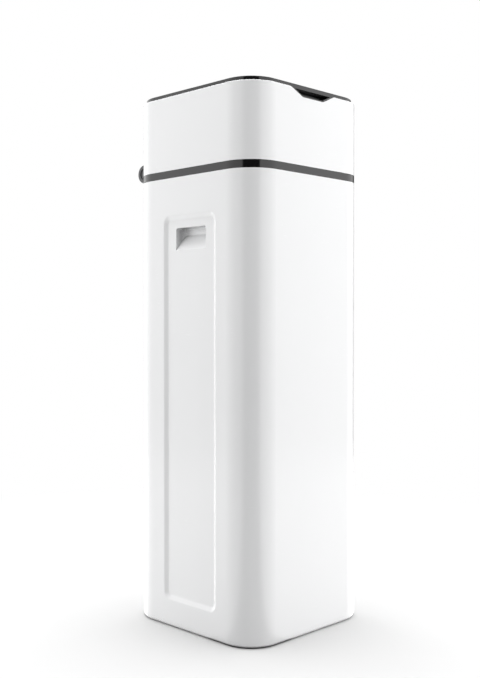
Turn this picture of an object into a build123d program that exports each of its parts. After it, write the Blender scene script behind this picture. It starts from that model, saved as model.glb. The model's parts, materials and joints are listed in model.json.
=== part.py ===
"""Cabinet water softener: a slim floor-standing tower with a resin tank, control valve and brine store inside.

The origin is on the floor at the centre of the cabinet. The front faces -Y, +Z is up, and +X is to the
right as seen from the front. All sizes are in millimetres and all angles in degrees.
"""

from build123d import *

import math
import os

STANDING = (Align.CENTER, Align.CENTER, Align.MIN)

# Gaps shared by all pieces
rest_gap = 0.3  # between pieces that lie beside each other
fit_gap = 0.05  # round a shaft in its bore
overrun = 5.0  # how far a cut passes the face that it opens
quarter_turn = 90.0

# Cabinet outline
cabinet_width = 350.0
cabinet_depth = 358.0
overall_height = 1090.0
corner_radius = 66.0
shell_wall = 3.0

# Base ring
base_height = 1.6
base_inset = 4.0
base_width = 15.0
base_rib_width = 10.0
base_rib_lift = 0.4

# Cabinet body
body_floor = 4.0
body_edge_radius = 5.0

# Pressed panel in each side
recess_width = 152.6
recess_bottom_z = 55.8
recess_top_drop = 77.0  # below the belt
recess_centre_y = -4.3
recess_corner_radius = 17.0
recess_bevel = 8.5
recess_depth = 5.2
recess_lead = 1.0
recess_edge_radius = 6.0

# Hand grip in each pressed panel
grip_width = 88.0
grip_height = 45.0
grip_drop = 25.0  # below the pressed panel's top
grip_depth = 23.0
grip_back_height = 14.0
grip_bend_radius = 6.0
grip_roof_radius = 3.0
grip_corner_radius = 5.0
grip_side_radius = 10.0  # where the side walls meet the back wall

# Dark belt between the body and the top cover
belt_drop = 174.5  # below the lid's top
belt_height = 15.7
belt_lip = 2.0
belt_lip_reach = 8.0
lug_width = 22.0
lug_reach = 16.0
lug_thickness = 4.0
lug_y = 60.0

# Top cover
lid_height = 8.7
cover_roof = 3.0
cover_rim_width = 16.0
cover_edge_radius = 1.6
cover_boss_radius = 5.5
cover_boss_height = 34.0
cover_boss_web = 2.0

# Finger notch in the front of the top cover
notch_half_bottom = 31.0
notch_half_top = 66.0
notch_depth = 16.0
notch_foot_radius = 12.0
notch_shoulder_radius = 16.0
notch_shoulder_run = 20.0

# Dark deck under the lid, with the finger scoop
deck_drop = 22.0
deck_floor = 3.0
deck_wall = 2.0
deck_rim_drop = 8.4
deck_rim = 2.6
scoop_depth = 27.0
scoop_wall = 2.0
scoop_set_back = 0.5
scoop_top_drop = 2.0
deck_boss_radius = 4.5
deck_boss_inset = 11.0
deck_boss_side_y = 70.0
deck_boss_front_x = 92.0
deck_boss_rear_x = 45.0

# Salt chute through the deck
chute_side_gap = 61.0  # from the cabinet's side
chute_front_gap = 34.0
chute_tank_gap = 9.5
chute_corner_radius = 9.0
chute_wall = 2.0
chute_flange = 6.0
chute_flange_height = 2.0
chute_end_drop = 10.5  # below the belt

# Lid
lid_inset = 7.0
lid_skin = 3.0
lid_edge_radius = 1.2
liner_gap = 0.2
liner_plate = 2.0
liner_rib = 2.0
liner_rib_height = 5.4
liner_rib_spacing = 90.0
bumper_radius = 2.5
bumper_inset = 13.1
bumper_x = 86.0
bumper_sink = 1.5
bumper_lift = 0.05

# Lid hinge
knuckle_radius = 3.2
knuckle_gap = 0.5
knuckle_web = 3.6
hinge_inset = 19.0  # from where the corner begins
lid_knuckle_length = 15.2
cover_knuckle_length = 12.0
knuckle_side_gap = 0.4
hinge_pin_radius = 1.5
hinge_pin_overhang = 1.0

# Control pod on the deck
pod_width = 224.0
pod_length = 84.0
pod_height = 14.0
pod_back_gap = 95.0
pod_corner_radius = 12.0
pod_wall = 2.0
pod_edge_radius = 1.5
display_inset = 20.0  # from the pod's outside
display_to_button = 26.0
lens_ledge = 3.0
lens_thickness = 1.2
lens_corner_radius = 3.0
lcd_thickness = 4.0
lcd_frame = 2.0
board_thickness = 1.6
board_lift = 3.2
board_margin = 5.0
standoff_radius = 3.2
standoff_inset = 14.0
switch_size = 6.0
switch_height = 3.6
button_count = 4
button_radius = 7.0
button_clearance = 0.3
button_flange = 1.3
button_flange_height = 1.0
button_proud = 1.0
button_travel = 0.8
button_spacing = 27.0
button_end_inset = 13.0  # from the pod's end

# Resin tank and its foot
tank_wall = 4.0
tank_back_gap = 6.5
tank_bottom_z = 14.0
tank_top_drop = 14.5  # below the belt
tank_dome_height = 52.0
tank_neck_radius = 41.0
tank_neck_height = 24.0
tank_neck_bore = 32.0
foot_wall = 3.0
foot_height = 62.0
resin_freeboard = 237.0  # from the resin up to the tank's shoulder

# Riser tube and strainers inside the tank
riser_radius = 13.3
riser_wall = 2.0
riser_into_valve = 20.0
lower_strainer_radius = 27.0
lower_strainer_height = 58.0
strainer_wall = 2.0
strainer_slot = 2.0
strainer_slots = 12
strainer_end = 6.0
upper_strainer_radius = 28.0
upper_strainer_height = 40.0

# Control valve
valve_width = 116.0
valve_length = 76.0
valve_collar_radius = 42.0
valve_collar_height = 20.0
valve_block_height = 54.0
valve_spigot_length = 18.0
valve_edge_radius = 4.0
port_spacing = 76.0
port_rise = 26.0  # above the valve block's underside
port_tube_radius = 16.0
port_bore = 11.0
rotor_chamber_radius = 30.0
rotor_chamber_depth = 18.0
stator_thickness = 5.0
rotor_thickness = 6.5
rotor_radius = 28.0
disc_port_radius = 5.0
disc_port_circle = 17.0
disc_port_count = 6
spindle_radius = 6.0
valve_cover_thickness = 6.0
valve_cover_side = 84.0
side_port_radius = 6.0
side_port_bore = 3.5
side_port_length = 10.0
brine_port_rise = 19.0
drain_port_rise = 37.0
injector_radius = 14.0
injector_length = 13.0
injector_x = -24.0

# Valve drive: gear train, motor and position switch
gear_module = 1.25
gear_teeth = 48
pinion_teeth = 12
pressure_angle = 25.0
gear_root_share = 1.25  # root depth over module
gear_flank_steps = 4
gear_backlash = 0.34
gear_thickness = 10.0
gear_lift = 7.0
cam_radius = 20.0
cam_thickness = 4.0
cam_notch_radius = 4.0
pinion_extra = 2.0
motor_radius = 19.0
motor_length = 32.0
motor_shaft_radius = 1.5
motor_shaft_grip = 8.0
motor_boss_radius = 6.0
motor_boss_height = 2.0
bracket_thickness = 3.0
bracket_margin = 6.0
post_radius = 4.0
post_x = 37.0
post_y = 22.0
position_switch_width = 16.0
position_switch_depth = 20.0
position_switch_height = 5.0
position_switch_gap = 0.6

# Flow meter in the outlet tube
turbine_gap = 31.0  # behind the valve block
turbine_radius = 9.4
turbine_hub_radius = 3.0
turbine_length = 9.0
turbine_blade = 1.0
turbine_blades = 6
turbine_spokes = 3
turbine_axle_radius = 1.2
turbine_support_length = 4.0
turbine_support_wall = 1.6
turbine_end_gap = 0.4

# Bypass valve behind the cabinet
bypass_behind = 26.0  # from the back of the cabinet to the plunger's axis
bypass_radius = 21.0
bypass_half_length = 76.0
plunger_radius = 14.0
plunger_waist_radius = 8.5
plunger_waist_length = 26.0
plunger_end_x = -119.0
knob_radius = 19.6
knob_thickness = 10.0
knob_edge_radius = 2.0
knob_dish_radius = 12.0
knob_dish_depth = 2.0
far_knob_gap = 6.0
socket_radius = 19.0
socket_inside = 19.0  # from the mouth to the cabinet's back
socket_gap = 0.1
stub_radius = 16.62
stub_length = 22.0
stub_collar_radius = 20.0
stub_collar_length = 6.0
tube_end_gap = 1.0
clip_width = 5.0
clip_thickness = 3.0
clip_opening = 22.0

# Plate that closes the back of the cover round the pipes
port_plate_width = 156.0
port_plate_drop = 30.0  # below the ports' axis
port_plate_height = 68.0
port_plate_thickness = 2.5
port_plate_corner = 10.0
rear_opening_half_width = 62.0
rear_opening_half_height = 23.0
rear_opening_corner = 8.0
plate_screw_x = 70.0
plate_screw_top_drop = 8.0
plate_screw_bottom_rise = 26.0

# Drain outlet and cable grommet in the back of the cover
drain_x = -95.0
drain_drop = 81.0  # below the cover's top
drain_spigot_radius = 6.75
drain_spigot_length = 26.0
drain_neck_radius = 6.2
drain_bore = 4.5
drain_flange_radius = 13.0
drain_flange = 3.0
drain_inside = 14.0
grommet_x = 60.0
grommet_drop = 81.0  # below the cover's top
grommet_bore = 3.2
grommet_radius = 8.5
grommet_neck_radius = 6.0
grommet_flange = 2.5

# Overflow fitting in the back of the cabinet body
overflow_x = -60.0
overflow_drop = 135.5  # below the belt
overflow_radius = 8.0
overflow_bore = 5.5
overflow_length = 26.0
overflow_flange_radius = 17.0
overflow_flange = 3.0
overflow_gasket = 2.0
overflow_thread_radius = 11.0
overflow_nut_radius = 16.0
overflow_nut = 8.0

# Brine well with its float valve
well_inset_share = 0.14  # axis to the side and to the back, over the cabinet's width
well_radius = 34.0
well_foot_gap = 0.82
well_wall = 2.5
well_drop = 35.5  # below the belt
well_slot_width = 6.0
well_slot_height = 60.0
well_slot_rise = 25.0
well_slots = 8
well_cap_plate = 3.0
well_cap_skirt = 12.0
brine_pipe_offset = -20.0
float_offset = 9.0
brine_pipe_radius = 5.0
air_check_radius = 9.0
air_check_rise = 6.0
air_check_height = 30.0
air_check_slots = 6
float_valve_radius = 10.0
float_valve_height = 34.0
float_valve_drop = 14.0
float_arm = 5.0
float_guide_radius = 5.0
float_rod_radius = 2.0
float_rod_bottom_z = 60.0
float_radius = 18.0
float_height = 60.0
float_edge_radius = 4.0
float_bottom_z = 300.0
float_guide_z = 130.0

# Brine line and drain line inside the cover
brine_line_radius = 4.75
brine_line_bore = 3.2
brine_line_bend_share = 0.3125  # bend radius over the run between the two bends
brine_line_rise = 13.0  # above the well
drain_line_radius = 7.0
drain_line_bore = 5.0
drain_line_bend = 20.0
drain_line_run = 46.0

# Salt grid above the cabinet floor
grid_z = 118.0
grid_thickness = 4.0
grid_side_gap = 1.4  # from the wall behind a pressed panel
grid_rear_gap = 22.0  # in front of the tank's axis
grid_hole_radius = 6.0
grid_hole_spacing = 20.0
grid_hole_side_gap = 50.0
grid_hole_front_gap = 31.0
grid_hole_tank_gap = 24.0
grid_leg_radius = 8.0
grid_leg_side_inset = 29.0
grid_leg_front_inset = 49.0
grid_leg_rear_inset = 18.0
grid_clearance = 2.0

# Screws
screw_head_height = 2.2
screw_head_share = 1.9  # head radius over shank radius
screw_drive_share = 0.9  # drive hole radius over shank radius
screw_drive_depth = 1.2
small_screw_radius = 1.5
small_screw_length = 7.0
case_screw_radius = 2.0
case_screw_length = 12.0
valve_screw_radius = 2.5
valve_screw_length = 14.0

# Heights that follow from the sizes above
body_bottom_z = base_height
body_floor_top_z = body_bottom_z + body_floor
belt_bottom_z = overall_height - belt_drop
belt_top_z = belt_bottom_z + belt_height
belt_middle_z = (belt_bottom_z + belt_top_z) / 2
recess_top_z = belt_bottom_z - recess_top_drop
grip_top_z = recess_top_z - grip_drop
lid_bottom_z = overall_height - lid_height
cover_top_z = lid_bottom_z - rest_gap
roof_bottom_z = cover_top_z - cover_roof
deck_top_z = cover_top_z - deck_drop
deck_bottom_z = deck_top_z - deck_floor
deck_rim_top_z = cover_top_z - deck_rim_drop
deck_rim_bottom_z = deck_rim_top_z - deck_rim
notch_bottom_z = cover_top_z - notch_depth
pod_top_z = deck_top_z + pod_height
board_top_z = deck_top_z + board_lift + board_thickness
chute_bottom_z = belt_bottom_z - chute_end_drop
tank_top_z = belt_bottom_z - tank_top_drop
tank_dome_top_z = tank_top_z - tank_neck_height
resin_top_z = tank_dome_top_z - resin_freeboard
valve_block_z = tank_top_z + valve_collar_height
port_z = valve_block_z + port_rise
brine_port_z = valve_block_z + brine_port_rise
drain_port_z = valve_block_z + drain_port_rise
valve_top_z = valve_block_z + valve_block_height
valve_cover_top_z = valve_top_z + valve_cover_thickness
gear_bottom_z = valve_cover_top_z + gear_lift
gear_top_z = gear_bottom_z + gear_thickness
bracket_bottom_z = gear_top_z + bracket_thickness
bracket_top_z = bracket_bottom_z + bracket_thickness
motor_shaft_top_z = bracket_top_z - motor_boss_height + motor_shaft_grip
port_plate_bottom_z = port_z - port_plate_drop
drain_z = cover_top_z - drain_drop
grommet_z = cover_top_z - grommet_drop
overflow_z = belt_bottom_z - overflow_drop
well_top_z = belt_bottom_z - well_drop
brine_line_start_z = well_top_z + brine_line_rise

# Places in plan that follow from the sizes above
side_x = cabinet_width / 2
back_y = cabinet_depth / 2
front_y = -back_y
well_inset = cabinet_width * well_inset_share
well_x = side_x - well_inset
well_y = back_y - well_inset
# the tank is as wide as the back wall and the well leave it room for
tank_back_y = back_y - shell_wall - tank_back_gap
well_reach = well_radius + well_foot_gap + foot_wall
well_to_back = tank_back_y - well_y
tank_radius = (well_x**2 + well_to_back**2 - well_reach**2) / (2 * (well_reach + well_to_back))
tank_centre_y = tank_back_y - tank_radius
tank_front_y = tank_centre_y - tank_radius
bypass_y = back_y + bypass_behind
stub_start_y = bypass_y + bypass_radius + stub_collar_length
stub_end_y = stub_start_y + stub_length
socket_mouth_y = back_y - socket_inside
hinge_x = side_x - corner_radius - hinge_inset
hinge_y = back_y - lid_inset + knuckle_gap + knuckle_radius
hinge_z = (lid_bottom_z + overall_height) / 2
valve_back_y = tank_centre_y + valve_length / 2
valve_front_y = tank_centre_y - valve_length / 2
turbine_y = valve_back_y + turbine_gap
tube_end_y = bypass_y - plunger_radius - tube_end_gap
chute_front_y = front_y + chute_front_gap
chute_rear_y = tank_front_y - chute_tank_gap
chute_width = cabinet_width - 2 * chute_side_gap
chute_length = chute_rear_y - chute_front_y
chute_centre_y = (chute_front_y + chute_rear_y) / 2
pod_centre_y = back_y - pod_back_gap - pod_length / 2
standoff_x = pod_width / 2 - standoff_inset
standoff_y = pod_length / 2 - standoff_inset
button_last_x = pod_width / 2 - button_end_inset
button_first_x = button_last_x - (button_count - 1) * button_spacing
display_left_x = display_inset - pod_width / 2
display_right_x = button_first_x - display_to_button
display_x = (display_left_x + display_right_x) / 2
display_width = display_right_x - display_left_x
display_length = pod_length - 2 * display_inset
gear_distance = gear_module * (gear_teeth + pinion_teeth) / 2
pinion_x = -gear_distance
brine_pipe_x = well_x + brine_pipe_offset
float_x = well_x + float_offset
port_plate_back_y = back_y + port_plate_thickness
drain_line_turn_y = tank_centre_y + drain_line_run
grid_rear_y = tank_centre_y - grid_rear_gap
grid_inset = recess_depth + shell_wall + grid_side_gap


def outline(inset):
    """The cabinet's plan outline, moved inwards by an inset."""
    return RectangleRounded(
        cabinet_width - 2 * inset, cabinet_depth - 2 * inset, corner_radius - inset
    )


def slab(inset, bottom, top):
    """The plan outline as a solid between two heights."""
    return Pos(0, 0, bottom) * extrude(outline(inset), amount=top - bottom)


def band(outer_inset, inner_inset, bottom, top):
    """A closed ring that follows the plan outline."""
    hole = slab(inner_inset, bottom - overrun, top + overrun)
    return slab(outer_inset, bottom, top) - hole


def block(low, high):
    """A box from its lowest to its highest corner."""
    size = [b - a for a, b in zip(low, high)]
    middle = [(a + b) / 2 for a, b in zip(low, high)]
    return Pos(*middle) * Box(*size)


def rod(radius, start, end):
    """A round bar from one point to another."""
    along = Vector(*end) - Vector(*start)
    return Plane(origin=start, z_dir=along) * Cylinder(radius, along.length, align=STANDING)


def pipe(radius, bore, start, end):
    """A straight pipe from one point to another, open at both ends."""
    along = (Vector(*end) - Vector(*start)).normalized() * overrun
    return rod(radius, start, end) - rod(bore, Vector(*start) - along, Vector(*end) + along)


def rounded_block(width, length, radius, bottom, top, x=0.0, y=0.0):
    """An upright block with rounded vertical edges."""
    plan = RectangleRounded(width, length, radius)
    return Pos(x, y, bottom) * extrude(plan, amount=top - bottom)


def screw(radius, length, head, tip):
    """A screw whose head rests at one point and whose shank runs towards another."""
    along = (Vector(*tip) - Vector(*head)).normalized()
    seat = Vector(*head)
    crown = seat - along * screw_head_height
    shape = rod(radius, seat, seat + along * length)
    shape += rod(radius * screw_head_share, crown, seat)
    drive_end = crown + along * screw_drive_depth
    return shape - rod(radius * screw_drive_share, crown - along * overrun, drive_end)


def group(shapes):
    """Separate solids kept together in one node."""
    solids = [solid for shape in shapes for solid in shape.solids()]
    return Compound(solids)


def mirrored(shape):
    """The same shape on the other side of the cabinet."""
    return mirror(shape, about=Plane.YZ)


def base_ring():
    """The dark ring that the cabinet stands on, with two ribs that stay clear of the floor."""
    shape = band(base_inset, base_inset + base_width, 0, base_height)
    reach = side_x - base_inset - base_width / 2
    for y in (-lug_y, lug_y):
        low = (-reach, y - base_rib_width / 2, base_rib_lift)
        shape += block(low, (reach, y + base_rib_width / 2, base_height))
    return shape


def recess_face(grow, x):
    """The rounded outline of a pressed panel, in the plane of a side at x."""
    height = recess_top_z - recess_bottom_z
    plan = RectangleRounded(
        recess_width + 2 * grow, height + 2 * grow, recess_corner_radius + grow
    )
    middle = (x, recess_centre_y, (recess_top_z + recess_bottom_z) / 2)
    return Plane(origin=middle, x_dir=(0, 1, 0), z_dir=(1, 0, 0)) * plan


def recess_cut():
    """What the pressed panel takes away from the left side."""
    flare = recess_lead * recess_bevel / recess_depth
    outer = recess_face(flare, -side_x - recess_lead)
    inner = recess_face(-recess_bevel, -side_x + recess_depth)
    return loft([outer, inner], ruled=True)


def grip_profile(grow):
    """The hand grip's section, as depth from the pressed panel against height, grown by a wall."""
    bottom_z = grip_top_z - grip_height
    knee_z = grip_top_z - grip_back_height
    slope = math.atan2(knee_z - bottom_z, grip_depth)
    drop = grow / math.cos(slope)
    deep = grip_depth + grow
    foot_z = bottom_z - drop - overrun * math.tan(slope)
    knee = bottom_z - drop + deep * math.tan(slope)
    line = FilletPolyline(
        (-overrun, grip_top_z + grow),
        (deep, grip_top_z + grow),
        (deep, knee),
        (-overrun, foot_z),
        radius=(grip_roof_radius + grow, grip_bend_radius + grow),
    )
    closing = Line(line @ 1, line @ 0)
    return make_face([*line.edges(), closing.edge()])


def grip_cut(grow):
    """The hand grip's hollow in the left side, grown by a wall."""
    panel_x = -side_x + recess_depth
    width = grip_width + 2 * grow
    section = Plane(
        origin=(panel_x, recess_centre_y - width / 2, 0), x_dir=(1, 0, 0), z_dir=(0, -1, 0)
    )
    hollow = extrude(section * grip_profile(grow), amount=-width)
    top = grip_top_z + grow
    bottom = grip_top_z - grip_height - 2 * grow - overrun
    face = RectangleRounded(width, top - bottom, grip_corner_radius + grow)
    middle = (panel_x - overrun, recess_centre_y, (top + bottom) / 2)
    frame = Plane(origin=middle, x_dir=(0, 1, 0), z_dir=(1, 0, 0))
    hollow &= extrude(frame * face, amount=grip_depth + grow + 2 * overrun)
    reach = 2 * (grip_depth + grow)
    plan = RectangleRounded(reach, width, grip_side_radius + grow)
    sides = Pos(panel_x, recess_centre_y, bottom) * extrude(plan, amount=top - bottom)
    return hollow & sides


def recess_backing():
    """The wall that the pressed panel and grip push into the cabinet, on the left side."""
    deep = recess_depth + recess_lead + shell_wall
    shape = extrude(recess_face(0, -side_x - recess_lead), amount=deep)
    return shape + grip_cut(shell_wall)


def side_edges(shape, x, tolerance):
    """The edges of a pressed panel that lie in the upright plane at x."""
    found = []
    for edge in shape.edges():
        box = edge.bounding_box()
        in_plane = abs(box.min.X - x) < tolerance and abs(box.max.X - x) < tolerance
        inside = box.min.Z > recess_bottom_z - tolerance and box.max.Z < recess_top_z + tolerance
        if in_plane and inside:
            found.append(edge)
    return found


def cabinet_body():
    """The white lower shell, with a pressed panel and hand grip in each side."""
    shape = slab(0, body_bottom_z, belt_bottom_z)
    foot = shape.edges().group_by(Axis.Z)[0]
    shape = fillet(foot, body_edge_radius)
    cut = recess_cut()
    shape = shape - cut - mirrored(cut)
    tolerance = fit_gap
    for x in (-side_x, side_x, -side_x + recess_depth, side_x - recess_depth):
        shape = fillet(side_edges(shape, x, tolerance), recess_edge_radius)
    grip = grip_cut(0)
    shape = shape - grip - mirrored(grip)
    backing = recess_backing()
    cavity = slab(shell_wall, body_floor_top_z, belt_bottom_z + overrun)
    cavity = cavity - backing - mirrored(backing)
    shape = shape - cavity
    hole = rod(
        overflow_thread_radius + rest_gap,
        (overflow_x, back_y - shell_wall - overrun, overflow_z),
        (overflow_x, back_y + overrun, overflow_z),
    )
    return shape - hole


def rear_opening():
    """The opening in the back of the cover and belt for the valve's tubes."""
    face = RectangleRounded(
        2 * rear_opening_half_width, 2 * rear_opening_half_height, rear_opening_corner
    )
    near_y = back_y - cover_rim_width
    frame = Plane(origin=(0, near_y, port_z), x_dir=(1, 0, 0), z_dir=(0, 1, 0))
    return extrude(frame * face, amount=cover_rim_width + overrun)


def lug_places():
    """Where the belt is screwed to the cover: x, y and the side's outward direction."""
    inner = side_x - shell_wall - belt_lip - rest_gap
    return [(sign * inner, y, sign) for sign in (-1, 1) for y in (-lug_y, lug_y)]


def lug_screw_x(place):
    """The x of a lug's screw."""
    return place[0] - place[2] * lug_reach / 2


def belt_ring():
    """The dark belt, with lips inside the shells above and below and four screw lugs."""
    lip_outer = shell_wall + rest_gap
    lip_inner = lip_outer + belt_lip
    shape = band(0, lip_inner, belt_bottom_z, belt_top_z)
    shape += band(lip_outer, lip_inner, belt_bottom_z - belt_lip_reach, belt_top_z + belt_lip_reach)
    lug_bottom_z = belt_middle_z - lug_thickness
    for place in lug_places():
        x, y, sign = place
        near, far = sorted((x + sign * belt_lip / 2, x - sign * lug_reach))
        low = (near, y - lug_width / 2, lug_bottom_z)
        shape += block(low, (far, y + lug_width / 2, belt_middle_z))
        hole_x = lug_screw_x(place)
        start, end = (hole_x, y, lug_bottom_z - overrun), (hole_x, y, belt_middle_z + overrun)
        shape -= rod(case_screw_radius + rest_gap, start, end)
    return shape - rear_opening()


def notch_profile(inset):
    """The finger notch as seen from the front, moved inwards by an inset."""
    slope = math.atan2(notch_depth, notch_half_top - notch_half_bottom)
    side_shift = inset / math.sin(slope)
    half_bottom = notch_half_bottom + inset / math.tan(slope) - side_shift
    half_top = notch_half_top - side_shift
    bottom_z = notch_bottom_z + inset
    run = notch_half_top + notch_shoulder_run
    line = FilletPolyline(
        (-run, cover_top_z),
        (-half_top, cover_top_z),
        (-half_bottom, bottom_z),
        (half_bottom, bottom_z),
        (half_top, cover_top_z),
        (run, cover_top_z),
        radius=(
            notch_shoulder_radius + inset,
            notch_foot_radius - inset,
            notch_foot_radius - inset,
            notch_shoulder_radius + inset,
        ),
    )
    above = Polyline(
        line @ 1, (run, cover_top_z + overrun), (-run, cover_top_z + overrun), line @ 0
    )
    return make_face([*line.edges(), *above.edges()])


def notch_solid(inset, near_y, far_y):
    """The notch profile as a solid between two depths."""
    frame = Plane(origin=(0, near_y, 0), x_dir=(1, 0, 0), z_dir=(0, -1, 0))
    return extrude(frame * notch_profile(inset), amount=near_y - far_y)


def deck_boss_places():
    """Where the deck is screwed up to the cover's roof."""
    side = side_x - deck_boss_inset
    end = back_y - deck_boss_inset
    places = [(sx * side, sy * deck_boss_side_y) for sx in (-1, 1) for sy in (-1, 1)]
    places += [(sx * deck_boss_front_x, -end) for sx in (-1, 1)]
    places += [(sx * deck_boss_rear_x, end) for sx in (-1, 1)]
    return places


def cover_knuckle_spans():
    """The x spans of the hinge knuckles that stand on the cover."""
    spans = []
    for sign in (-1, 1):
        for side in (-1, 1):
            near = sign * hinge_x + side * (lid_knuckle_length / 2 + knuckle_side_gap)
            far = near + side * cover_knuckle_length
            spans.append(sorted((near, far)))
    return spans


def top_cover():
    """The white upper shell with an open roof, the finger notch, screw bosses and hinge knuckles."""
    shape = slab(0, belt_top_z, cover_top_z)
    rim = shape.edges().group_by(Axis.Z)[-1]
    shape = fillet(rim, cover_edge_radius)
    shape -= slab(shell_wall, belt_top_z - overrun, roof_bottom_z)
    shape -= slab(cover_rim_width, roof_bottom_z - overrun, cover_top_z + overrun)
    for x, y in deck_boss_places():
        shape += rod(deck_boss_radius, (x, y, deck_rim_top_z), (x, y, roof_bottom_z))
        pilot = small_screw_radius + fit_gap
        shape -= rod(pilot, (x, y, deck_rim_top_z - overrun), (x, y, roof_bottom_z))
    boss_top_z = belt_middle_z + cover_boss_height
    for place in lug_places():
        x, y, sign = place
        hole_x = lug_screw_x(place)
        shape += rod(cover_boss_radius, (hole_x, y, belt_middle_z), (hole_x, y, boss_top_z))
        near, far = sorted((hole_x, sign * (side_x - shell_wall / 2)))
        low = (near, y - cover_boss_web / 2, belt_top_z + belt_lip_reach + rest_gap)
        shape += block(low, (far, y + cover_boss_web / 2, boss_top_z))
        pilot = case_screw_radius + fit_gap
        tip_z = belt_middle_z - lug_thickness + case_screw_length + rest_gap
        shape -= rod(pilot, (hole_x, y, belt_middle_z - overrun), (hole_x, y, tip_z))
    for near, far in cover_knuckle_spans():
        shape += rod(knuckle_radius, (near, hinge_y, hinge_z), (far, hinge_y, hinge_z))
        low = (near, hinge_y - knuckle_web / 2, roof_bottom_z)
        shape += block(low, (far, hinge_y + knuckle_web / 2, hinge_z))
        shape -= rod(
            hinge_pin_radius + fit_gap,
            (near - overrun, hinge_y, hinge_z),
            (far + overrun, hinge_y, hinge_z),
        )
    shape -= notch_solid(0, front_y + cover_rim_width + overrun, front_y - overrun)
    shape -= rear_opening()
    shape -= rod(
        drain_neck_radius + rest_gap,
        (drain_x, back_y - shell_wall - overrun, drain_z),
        (drain_x, back_y + overrun, drain_z),
    )
    shape -= rod(
        grommet_neck_radius + fit_gap,
        (grommet_x, back_y - shell_wall - overrun, grommet_z),
        (grommet_x, back_y + overrun, grommet_z),
    )
    for screw_place in plate_screw_places():
        shape -= plate_screw_hole(screw_place)
    return shape


def chute_outer(grow):
    """The salt chute's outer plan, grown by a clearance."""
    return RectangleRounded(
        chute_width + 2 * grow, chute_length + 2 * grow, chute_corner_radius + grow
    )


def inner_deck():
    """The dark tray under the lid, with the finger scoop at its front and the salt opening."""
    wall_outer = cover_rim_width + rest_gap
    wall_inner = wall_outer + deck_wall
    shape = slab(wall_outer, deck_bottom_z, roof_bottom_z - rest_gap)
    shape -= slab(wall_inner, deck_top_z, cover_top_z + overrun)
    shape += band(shell_wall + rest_gap, wall_inner, deck_rim_bottom_z, deck_rim_top_z)
    scoop_front_y = front_y + scoop_set_back
    scoop_back_y = front_y + scoop_depth
    scoop = notch_solid(rest_gap, scoop_back_y, scoop_front_y)
    scoop &= slab(-overrun, notch_bottom_z, cover_top_z - scoop_top_drop)
    hollow = notch_solid(
        rest_gap + scoop_wall, scoop_back_y - scoop_wall, scoop_front_y - overrun
    )
    shape = shape + scoop - hollow
    opening = Pos(0, chute_centre_y, deck_bottom_z - overrun) * extrude(
        chute_outer(rest_gap), amount=deck_floor + 2 * overrun
    )
    shape -= opening
    shape -= rounded_block(
        2 * standoff_x, pod_length / 2, pod_corner_radius, deck_bottom_z - overrun,
        deck_top_z + overrun, 0, pod_centre_y,
    )
    for x, y in deck_boss_places():
        shape -= rod(
            small_screw_radius + rest_gap,
            (x, y, deck_rim_bottom_z - overrun),
            (x, y, deck_rim_top_z + overrun),
        )
    return shape


def small_screws():
    """The screws that hold the deck up to the cover's roof, and the board up to the pod."""
    seats = [(x, y, deck_rim_bottom_z) for x, y in deck_boss_places()]
    seats += [(x, y, deck_top_z + board_lift) for x, y in standoff_places()]
    return group(
        screw(small_screw_radius, small_screw_length, (x, y, z), (x, y, cover_top_z))
        for x, y, z in seats
    )


def case_screws():
    """The screws that hold the belt's lugs up to the top cover, and the port plate to its back."""
    routes = []
    for place in lug_places():
        x, y = lug_screw_x(place), place[1]
        routes.append(((x, y, belt_middle_z - lug_thickness), (x, y, cover_top_z)))
    for x, z in plate_screw_places():
        routes.append(((x, port_plate_back_y, z), (x, 0, z)))
    return group(screw(case_screw_radius, case_screw_length, seat, tip) for seat, tip in routes)


def salt_chute():
    """The sleeve that keeps poured salt off the valve, hung from the deck's opening."""
    flange_top_z = deck_top_z + chute_flange_height
    here = Pos(0, chute_centre_y, 0)
    shape = here * Pos(0, 0, chute_bottom_z) * extrude(
        chute_outer(0), amount=flange_top_z - chute_bottom_z
    )
    shape += here * Pos(0, 0, deck_top_z) * extrude(
        chute_outer(chute_flange), amount=chute_flange_height
    )
    bore = here * Pos(0, 0, chute_bottom_z - overrun) * extrude(
        chute_outer(-chute_wall), amount=flange_top_z - chute_bottom_z + 2 * overrun
    )
    return shape - bore


def lid_panel():
    """The dark lid: a thin tray turned over, with a knuckle at each hinge."""
    shape = slab(lid_inset, lid_bottom_z, overall_height)
    rim = shape.edges().group_by(Axis.Z)[-1]
    shape = fillet(rim, lid_edge_radius)
    shape -= slab(lid_inset + lid_skin, lid_bottom_z - overrun, overall_height - lid_skin)
    for sign in (-1, 1):
        near = sign * hinge_x - lid_knuckle_length / 2
        far = sign * hinge_x + lid_knuckle_length / 2
        shape += rod(knuckle_radius, (near, hinge_y, hinge_z), (far, hinge_y, hinge_z))
        low = (near, back_y - lid_inset - lid_skin / 2, hinge_z - knuckle_web / 2)
        shape += block(low, (far, hinge_y, hinge_z + knuckle_web / 2))
        shape -= rod(
            hinge_pin_radius + fit_gap,
            (near - overrun, hinge_y, hinge_z),
            (far + overrun, hinge_y, hinge_z),
        )
    return shape


def bumper_places():
    """Where the lid's rubber bumpers sit, above the cover's rim."""
    end = back_y - bumper_inset
    return [(sx * bumper_x, sy * end) for sx in (-1, 1) for sy in (-1, 1)]


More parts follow.
